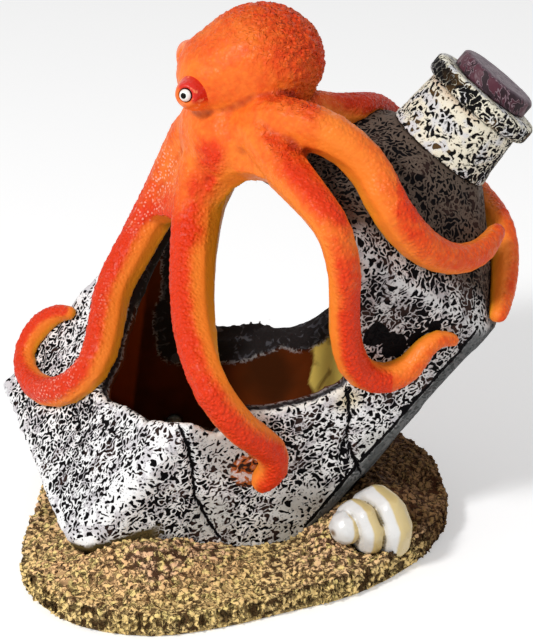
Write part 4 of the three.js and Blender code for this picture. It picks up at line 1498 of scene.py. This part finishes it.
        # Painted shade on the low under face of the foot, below a line just above the sand
        x, _, z = points_of(shell).T * 1000
        foot_line = 13.6 + 0.17 * (x + 42.7)
        store(shell, "foot", (1 - smooth(z - foot_line, -0.3, 0.3)) * (1 - smooth(x, -28, -24)))

    @staticmethod
    def _dabs(along: Points, out: Points, dabs: Line, core: float) -> Points:
        """Marks round dabs on the bottle, seen square to its front.

        Args:
            along: How far along the bottle each point lies, in millimetres.
            out: How far out of its middle, in millimetres.
            dabs: Each dab's place along and out, and its reach, in millimetres.
            core: The share of the reach in which the mark is 1.

        Returns:
            The mark at each point.
        """
        marks = [1 - smooth(np.hypot(along - x, out - y), core * reach, reach) for x, y, reach in dabs]
        return np.max(marks, axis=0)

    def _ridge(self, sheet: Sheet, place: Socket) -> Socket:
        """Writes the raised ridges between hewn facets.

        Args:
            sheet: The tree.
            place: The place.

        Returns:
            1 on a ridge and 0 off it.
        """
        moved = sheet.wobbled(place, 60.0, self.facet_bend)
        gap = sheet.cells(moved, self.facet_scale, "DISTANCE_TO_EDGE").outputs["Distance"]
        return sheet.ease(gap, 0.12, 0.0)


@dataclass(frozen=True)
class CreamFinish:
    """Worn cream paint over black, on the neck and the collar, with painted shade on the neck's turned-away
    side.
    """

    cream: Colour = paint(242, 236, 214)
    grey: Colour = paint(222, 222, 222)
    black: Colour = paint(12, 11, 12)
    ochre: Colour = paint(186, 120, 44)
    brown: Colour = paint(86, 66, 40)
    pit_scale: float = 760.0
    speck_scale: float = 1500.0
    pit_depth: float = 0.4 * MM

    def make(self) -> bpy.types.Material:
        """Writes the material.

        Returns:
            The material.
        """
        coat = Coat("worn_cream", 0.5)
        sheet, place = coat.sheet, coat.place
        broad = coat.effect(Effect.CLOUDS, scale=110.0, cover=0.5)
        reach = sheet.plus(sheet.read("wear"), sheet.spread(broad["Value"], -0.16, 0.16))
        reach = sheet.plus(reach, sheet.times(sheet.read("crease"), 0.3))
        pits = coat.effect(Effect.PITS, scale=self.pit_scale, reach=reach)["Pit"]
        specks = coat.effect(Effect.PITS, scale=self.speck_scale, reach=sheet.less(reach, 0.25))["Pit"]
        tint = sheet.noise(place, 240.0, 2.0)
        top = sheet.mix(sheet.ease(tint, 0.45, 0.6), self.cream, self.grey)
        top = sheet.mix(sheet.read("rust"), top, self.ochre)
        low = sheet.mix(sheet.ease(sheet.noise(place, 160.0, 2.0), 0.58, 0.64), self.black, self.brown)
        colour = sheet.mix(sheet.times(specks, 0.6), top, low)
        colour = sheet.mix(pits, colour, low)
        # Black where the stored dark is: painted shade on the neck's turned-away side, and the collar's dark
        # ends
        coat.colour(sheet.mix(sheet.read("dark"), colour, self.black))
        coat.roughness(sheet.blend(pits, 0.45, 0.75))
        coat.bump(sheet.less(1.0, pits), self.pit_depth)
        coat.bump(sheet.noise(place, 800.0, 2.0), 0.2 * MM, 0.5)
        return coat.set(specular_ior_level=0.08).material


@dataclass(frozen=True)
class StopperFinish:
    """Plum paint with brushed streaks, painted highlights as thin pale glint lines, and worn grey edges."""

    plum: Colour = paint(80, 34, 48)
    dark: Colour = paint(34, 14, 22)
    worn: Colour = paint(102, 86, 96)
    mark: Colour = paint(176, 150, 160)

    def make(self) -> bpy.types.Material:
        """Writes the material.

        Returns:
            The material.
        """
        coat = Coat("plum_stopper", 0.5)
        sheet, place = coat.sheet, coat.place
        streak = sheet.noise(sheet.stretch(place, (1.0, 1.0, 0.4)), 620.0, 2.0, 0.6)
        colour = sheet.mix(sheet.ease(streak, 0.42, 0.6), self.plum, self.dark)
        colour = sheet.mix(sheet.times(sheet.read("top"), 0.75), colour, self.worn)
        # Painted highlight: thin pale glint lines along the brushed streaks
        strokes = sheet.ease(sheet.size(sheet.less(streak, 0.52)), 0.02, 0.004)
        colour = sheet.mix(sheet.times(strokes, 0.55), colour, self.mark)
        edge = sheet.ease(sheet.read("crease"), -0.25, -0.8, 0.0, 0.45)
        coat.colour(sheet.mix(edge, colour, self.worn))
        coat.roughness(sheet.spread(streak, 0.4, 0.65))
        coat.bump(streak, 0.3 * MM, 0.8)
        return coat.set(specular_ior_level=0.3).material


@dataclass
class BottleTop:
    """The bottle's neck, its collar and the stopper in it."""

    voxel: float = 0.42 * MM
    neck_dents: float = 0.45 * MM
    stopper_dents: float = 0.3 * MM
    pit_rise: float = 0.16 * MM
    cream: CreamFinish = field(default_factory=CreamFinish)

    def build(self) -> None:
        """Builds and dresses the three pieces."""
        coat = self.cream.make()
        for name, node in (("neck_cream", "bottle_neck"), ("collar_cream", "neck_collar")):
            piece = remeshed(name, [node], self.voxel, 1)
            along, out, _ = BOTTLE.local(points_of(piece)).T * 1000
            ahead, outward, _ = (normals_of(piece) @ BOTTLE.axes().T).T
            if node == "bottle_neck":
                # Painted shade: on the neck's side that faces away from the upper face the pits spread and
                # the stored dark paints black; low near the shoulder the pits spread too
                low = smooth(-out, -2, 10) * smooth(138 - along, 0, 12)
                wear = 0.22 + 0.36 * np.clip(low + smooth(-outward, 0.2, 0.8), 0, 1)
                rust = 0.7 * smooth(along, 137, 141) * smooth(outward, 0.2, 0.6)
                dark = 0.7 * smooth(-outward, 0.55, 0.85)
            else:
                wear = 0.66 - 0.5 * smooth(ahead, 0.4, 0.8)
                rust = np.zeros(len(along))
                dark = 0.75 * smooth(np.abs(outward), 0.86, 0.98) * (1 - smooth(ahead, 0.3, 0.7))
            store(piece, "wear", wear)
            store(piece, "rust", rust)
            store(piece, "dark", dark)
            store(piece, "crease", hollowness(piece, 8, 0.35 * MM))
            sculpted(piece, self.neck_dents, bumpy(210.0))
            sculpted(piece, self.pit_rise, self._worn)
            finished(piece, coat, [node])
        stopper = remeshed("stopper_plum", ["bottle_stopper"], self.voxel, 1)
        store(stopper, "top", smooth(normals_of(stopper) @ BOTTLE.axes()[0], 0.6, 0.9))
        store(stopper, "crease", hollowness(stopper, 6, 0.3 * MM))
        sculpted(stopper, self.stopper_dents, bumpy(210.0))
        finished(stopper, StopperFinish().make(), ["bottle_stopper"])

    def _worn(self, sheet: Sheet, place: Socket) -> Socket:
        """Writes the pits that the finish paints, as hollows."""
        return sheet.times(Pits().write(sheet, place, self.cream.pit_scale, 0.3), -1.0)


# Base


@dataclass(frozen=True)
class SandFinish:
    """Sand paint: tan crumbs with bright yellow tops and dark brown gaps, and painted shade in the hollows
    and behind the bottle.
    """

    tan: Colour = paint(255, 206, 148)
    bright: Colour = paint(255, 228, 148)
    pink: Colour = paint(244, 196, 166)
    gap: Colour = paint(52, 22, 6)
    shade: Colour = paint(112, 78, 48)
    crumb_scale: float = 640.0
    crumb_depth: float = 1.7 * MM
    cut_scale: float = 700.0
    cut_share: float = 0.13
    cut_depth: float = 0.9 * MM

    def make(self) -> bpy.types.Material:
        """Writes the material.

        Returns:
            The material.
        """
        coat = Coat("sand_grains", 0.8)
        sheet = coat.sheet
        crumbs = coat.effect(Effect.CRUMBS, scale=self.crumb_scale)
        broad = coat.effect(Effect.CLOUDS, scale=60.0, cover=0.4)
        fine = coat.effect(Effect.CLOUDS, scale=420.0, cover=0.5)
        cuts = coat.effect(Effect.PITS, scale=self.cut_scale, reach=self.cut_share)["Pit"]
        own = sheet.times(sheet.ease(crumbs["Own"], 0.1, 0.8), sheet.ease(fine["Value"], 0.35, 0.6))
        own = sheet.most(own, sheet.times(sheet.read("yellow"), 0.7))
        colour = sheet.mix(sheet.times(broad["Mask"], 0.5), self.tan, self.pink)
        colour = sheet.mix(own, colour, self.bright)
        # Painted shade: darker brown on the sand behind the bottle
        colour = sheet.mix(sheet.times(sheet.read("behind_in_shade"), 0.92), colour, self.shade)
        reach = sheet.spread(broad["Value"], 0.03, 0.1)
        gaps = sheet.ease(crumbs["Height"], reach, sheet.less(reach, 0.06))
        # Painted shade: dark brown in the hollows between clumps
        dents = sheet.ease(sheet.read("crease"), 0.3, 0.8, 0.0, 0.95)
        dark = sheet.most(sheet.most(gaps, sheet.times(cuts, 0.85)), dents)
        coat.colour(sheet.mix(sheet.times(dark, 0.94), colour, self.gap))
        coat.roughness(sheet.ease(crumbs["Own"], 0.0, 1.0, 0.65, 0.9))
        coat.bump(sheet.less(1.0, cuts), self.cut_depth)
        coat.bump(sheet.ease(crumbs["Height"], 0.0, 0.5), self.crumb_depth)
        return coat.set(specular_ior_level=0.1).material


@dataclass
class SandBase:
    """The sand base, with crumbs, lumps and a combed lower rim."""

    voxel: float = 0.56 * MM
    ribs: int = 220
    rib_rise: float = 0.5 * MM
    lump_rise: float = 1.2 * MM
    comb_rise: float = 1.1 * MM
    crumb_rise: float = 0.8 * MM
    finish: SandFinish = field(default_factory=SandFinish)

    def build(self) -> None:
        """Builds and dresses the base."""
        sand = remeshed("sand_bed", ["sand_base"], self.voxel, 4)
        points = points_of(sand)
        x, y, z = points.T * 1000
        above = smooth(z, 0.3, 1.2)
        rim = above * (1 - smooth(np.abs(normals_of(sand)[:, 2]), 0.5, 0.85))
        behind = smooth(x, 14, 24) * smooth(y, -14, -4)
        store(sand, "top", above)
        store(sand, "rim", rim)
        # Painted shade on the sand behind the bottle
        store(sand, "behind_in_shade", behind * (1 - smooth(z, 26, 34)))
        around = np.arctan2(y, x)
        comb = np.sin(around * self.ribs + 2.2 * np.sin(around * 37))
        swell(sand, self.rib_rise * comb * rim * (1 - smooth(z, 7, 12)))
        sculpted(sand, self.lump_rise, bumpy(230.0, 3.0, 0.6, 0.56), "top")
        sculpted(sand, self.comb_rise, self._combed, "rim")
        store(sand, "yellow", 1 - smooth(z, 5, 10))
        sculpted(sand, self.crumb_rise, self._crumbs, "top")
        store(sand, "crease", hollowness(sand, 6, 0.45 * MM))
        finished(sand, self.finish.make(), ["sand_base"])

    @staticmethod
    def _combed(sheet: Sheet, place: Socket) -> Socket:
        """Writes the upright strokes of the rim."""
        return bumpy(420.0, 1.0, level=0.6)(sheet, sheet.stretch(place, (1.0, 1.0, 0.3)))

    def _crumbs(self, sheet: Sheet, place: Socket) -> Socket:
        """Writes the crumbs that the finish paints, as lumps."""
        return sheet.less(Grains(CRUMBLED).write(sheet, place, self.finish.crumb_scale)[0], 0.6)


@dataclass(frozen=True)
class ShellFinish:
    """Glossy white shell paint with cream and olive in the grooves; the cream also covers each whorl's side
    that faces away from the tip, partly as the shell's tint and partly as painted shade.
    """

    white: Colour = paint(228, 228, 226)
    cream: Colour = paint(214, 188, 116)
    groove: Colour = paint(104, 88, 44)
    fleck: Colour = paint(120, 92, 62)

    def make(self) -> bpy.types.Material:
        """Writes the material.

        Returns:
            The material.
        """
        coat = Coat("snail_paint", 0.3)
        sheet = coat.sheet
        clouds = coat.effect(Effect.CLOUDS, scale=220.0, cover=0.45)
        # Cream on each whorl's side away from the tip: partly the shell's tint, partly painted shade
        tinted = sheet.plus(sheet.read("cream_and_shade"), sheet.swing(clouds["Value"], 0.5))
        colour = sheet.mix(sheet.ease(tinted, 0.05, 0.5, 0.0, 0.9), self.white, self.cream)
        colour = sheet.mix(sheet.ease(sheet.read("crease"), 0.2, 0.55), colour, self.groove)
        coat.colour(sheet.mix(sheet.read("fleck"), colour, self.fleck))
        coat.roughness(sheet.spread(clouds["Value"], 0.24, 0.42))
        coat.bump(clouds["Value"], 0.4 * MM, 0.5)
        return coat.set(coat_weight=0.4, coat_roughness=0.12).material


@dataclass
class Snail:
    """The small snail shell that lies on the sand."""

    voxel: float = 0.3 * MM
    swelling: float = 0.15 * MM
    uneven: float = 0.3 * MM
    groove_depth: float = 1.1 * MM
    spire: Place = (-0.87, -0.485, 0.08)
    tip: Place = (15.2, -19.5, 14.0)
    fleck_place: Place = (15.6, -19.2, 13.6)

    def build(self) -> None:
        """Builds and dresses the shell."""
        shell = remeshed("snail_white", ["snail_shell"], self.voxel, 14)
        swell(shell, self.swelling)
        sculpted(shell, self.uneven, bumpy(260.0))
        groove = hollowness(shell, 24, 0.35 * MM)
        swell(shell, -self.groove_depth * even(shell, np.clip(groove, 0, 1), 2))
        store(shell, "crease", even(shell, groove, 3))
        points, spire = points_of(shell), np.array(self.spire)
        facing = even(shell, normals_of(shell), 6) @ spire
        past = (np.array(self.tip) - points * 1000) @ spire
        # Cream on each whorl's side away from the tip: partly the shell's tint, partly painted shade
        store(shell, "cream_and_shade", (1 - smooth(facing, 0.0, 0.5)) * smooth(past, 4.5, 6.5))
        store(shell, "fleck", near(points, self.fleck_place, 0.8, 1.8))
        finished(shell, ShellFinish().make(), ["snail_shell"])


# Air parts


@dataclass(frozen=True)
class AirFinishes:
    """Milky plastic for the air inlet and its tube, and gritty grey for the air stone."""

    milky: Colour = paint(214, 224, 222)
    misted: Colour = paint(184, 198, 196)
    stone: Colour = paint(96, 110, 124)
    stone_light: Colour = paint(150, 160, 168)

    def plastic(self) -> bpy.types.Material:
        """Writes the plastic's material.

        Returns:
            The material.
        """
        coat = Coat("milky_plastic", 0.28)
        sheet, place = coat.sheet, coat.place
        clouds = coat.effect(Effect.CLOUDS, scale=180.0, cover=0.4)
        coat.colour(sheet.mix(clouds["Mask"], self.milky, self.misted))
        coat.roughness(sheet.spread(clouds["Value"], 0.2, 0.38))
        coat.bump(sheet.noise(sheet.stretch(place, (1.0, 0.1, 1.0)), 900.0), 0.05 * MM, 0.4)
        return coat.set(transmission_weight=0.55, ior=1.45).material

    def grit(self) -> bpy.types.Material:
        """Writes the air stone's material.

        Returns:
            The material.
        """
        coat = Coat("air_stone_grit", 0.85)
        sheet = coat.sheet
        grains = coat.effect(Effect.WARTS, scale=1800.0)
        coat.colour(sheet.mix(grains["Own"], self.stone, self.stone_light))
        coat.roughness(sheet.ease(grains["Own"], 0.0, 1.0, 0.75, 0.95))
        coat.bump(grains["Height"], 0.25 * MM, 0.9)
        return coat.material


@dataclass
class AirParts:
    """The air inlet, its tube and the air stone, which keep their solids."""

    finishes: AirFinishes = field(default_factory=AirFinishes)

    def build(self) -> None:
        """Dresses the three parts."""
        plastic = self.finishes.plastic()
        redressed("air_inlet_barb", plastic)
        redressed("air_tube", plastic)
        redressed("air_stone", self.finishes.grit())


# Studio


@dataclass
class Studio:
    """A plain white floor, soft light and the camera."""

    image: tuple[int, int] = (533, 644)
    focal_pixels: float = 1968.0
    distance: float = 0.48
    elevation: float = math.radians(24)
    sensor: float = 36.0
    look_at: Place = (0.0, 0.0, 0.062)
    floor_size: float = 6.0
    world_strength: float = 0.42
    key_power: float = 7.4
    key_place: Place = (-0.55, -0.62, 0.75)
    key_size: float = 0.16
    fill_power: float = 0.8
    fill_place: Place = (0.75, -0.5, 0.45)
    fill_size: float = 0.6
    floor_colour: Colour = paint(250, 250, 250)
    floor_glow: float = 0.3

    def build(self) -> None:
        """Builds the floor, the lamps, the world and the camera."""
        self._floor()
        self._world()
        self._lamp("key_light", self.key_place, self.key_size, self.key_power)
        self._lamp("fill_light", self.fill_place, self.fill_size, self.fill_power)
        self._camera()

    def _floor(self) -> None:
        """Lays the floor, white to the eye wherever no shadow falls."""
        bpy.ops.object.select_all(action="DESELECT")
        bpy.ops.mesh.primitive_plane_add(size=self.floor_size)
        floor = bpy.context.object
        floor.name = "floor"
        coat = Coat("studio_floor", 0.9)
        coat.colour(self.floor_colour)
        glow = coat.sheet.mix(self._seen(coat.sheet), BLACK, WHITE)
        coat.sheet.feed(coat.shader.inputs["Emission Color"], glow)
        coat.set(emission_strength=self.floor_glow, specular_ior_level=0.0)
        floor.data.materials.append(coat.material)

    @staticmethod
    def _seen(sheet: Sheet) -> Socket:
        """Tells rays that look at the background, straight or through gloss or glass.

        Args:
            sheet: The tree.

        Returns:
            1 on such rays and 0 on others.
        """
        path = sheet.node("ShaderNodeLightPath").outputs
        either = sheet.math("ADD", path["Is Camera Ray"], path["Is Glossy Ray"], True)
        return sheet.math("ADD", either, path["Is Transmission Ray"], True)

    def _world(self) -> None:
        """Lights from all round, and shows white behind the object."""
        world = bpy.data.worlds.new("studio")
        bpy.context.scene.world = world
        world.use_nodes = True
        sheet = Sheet(world.node_tree)
        background = world.node_tree.nodes["Background"]
        sheet.feed(background.inputs["Color"], WHITE)
        strength = sheet.blend(self._seen(sheet), self.world_strength, 1.0)
        sheet.feed(background.inputs["Strength"], strength)

    def _lamp(self, name: str, place: Place, size: float, power: float) -> None:
        """Hangs one square soft lamp that faces the object.

        Args:
            name: The lamp's name.
            place: Where it hangs, in metres.
            size: Its side, in metres.
            power: Its power in watts.
        """
        lamp = bpy.data.lights.new(name, "AREA")
        lamp.size = size
        lamp.energy = power
        holder = bpy.data.objects.new(name, lamp)
        bpy.context.scene.collection.objects.link(holder)
        holder.location = place
        holder.rotation_euler = (Vector(self.look_at) - Vector(place)).to_track_quat("-Z", "Y").to_euler()

    def _camera(self) -> None:
        """Places the camera at the photograph's angle."""
        data = bpy.data.cameras.new("camera")
        camera = bpy.data.objects.new("camera", data)
        bpy.context.scene.collection.objects.link(camera)
        data.sensor_width = self.sensor
        data.lens = self.focal_pixels / max(self.image) * self.sensor
        data.clip_start, data.clip_end = 0.01, 20.0
        back = Vector((0, -math.cos(self.elevation), math.sin(self.elevation)))
        camera.location = Vector(self.look_at) + back * self.distance
        camera.rotation_euler = (-back).to_track_quat("-Z", "Y").to_euler()
        bpy.context.scene.camera = camera
        bpy.context.scene.view_settings.view_transform = "Standard"


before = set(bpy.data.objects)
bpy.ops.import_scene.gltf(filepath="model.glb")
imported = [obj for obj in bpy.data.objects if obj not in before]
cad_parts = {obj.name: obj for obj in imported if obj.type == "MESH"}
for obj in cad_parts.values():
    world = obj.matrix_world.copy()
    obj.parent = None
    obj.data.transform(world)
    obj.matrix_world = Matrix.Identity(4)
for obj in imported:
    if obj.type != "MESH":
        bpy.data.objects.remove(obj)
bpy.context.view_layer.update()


def eyes() -> list[Eye]:
    """Gives the front and the rear eye.

    Returns:
        The two eyes.
    """
    return [
        Eye(Flank.FRONT, Vector((-17.8, 6.66, 117.9)) * MM, Vector((-0.38, -0.86, 0.14))),
        Eye(Flank.REAR, Vector((-18.4, 28.0, 121.2)) * MM, Vector((-0.38, 0.86, 0.14)),
            red_way=Vector((-0.38, 0.86, 0.3)), red_from=2.6 * MM),
    ]


def main() -> None:
    """Builds every part of the ornament and the studio."""
    for part in (SandBase(), Bottle(), BottleTop(), Octopus(), *eyes(), Snail(), AirParts()):
        part.build()
    Studio().build()
    LOG.info("all pieces built")


if __name__ == "__main__":
    main()
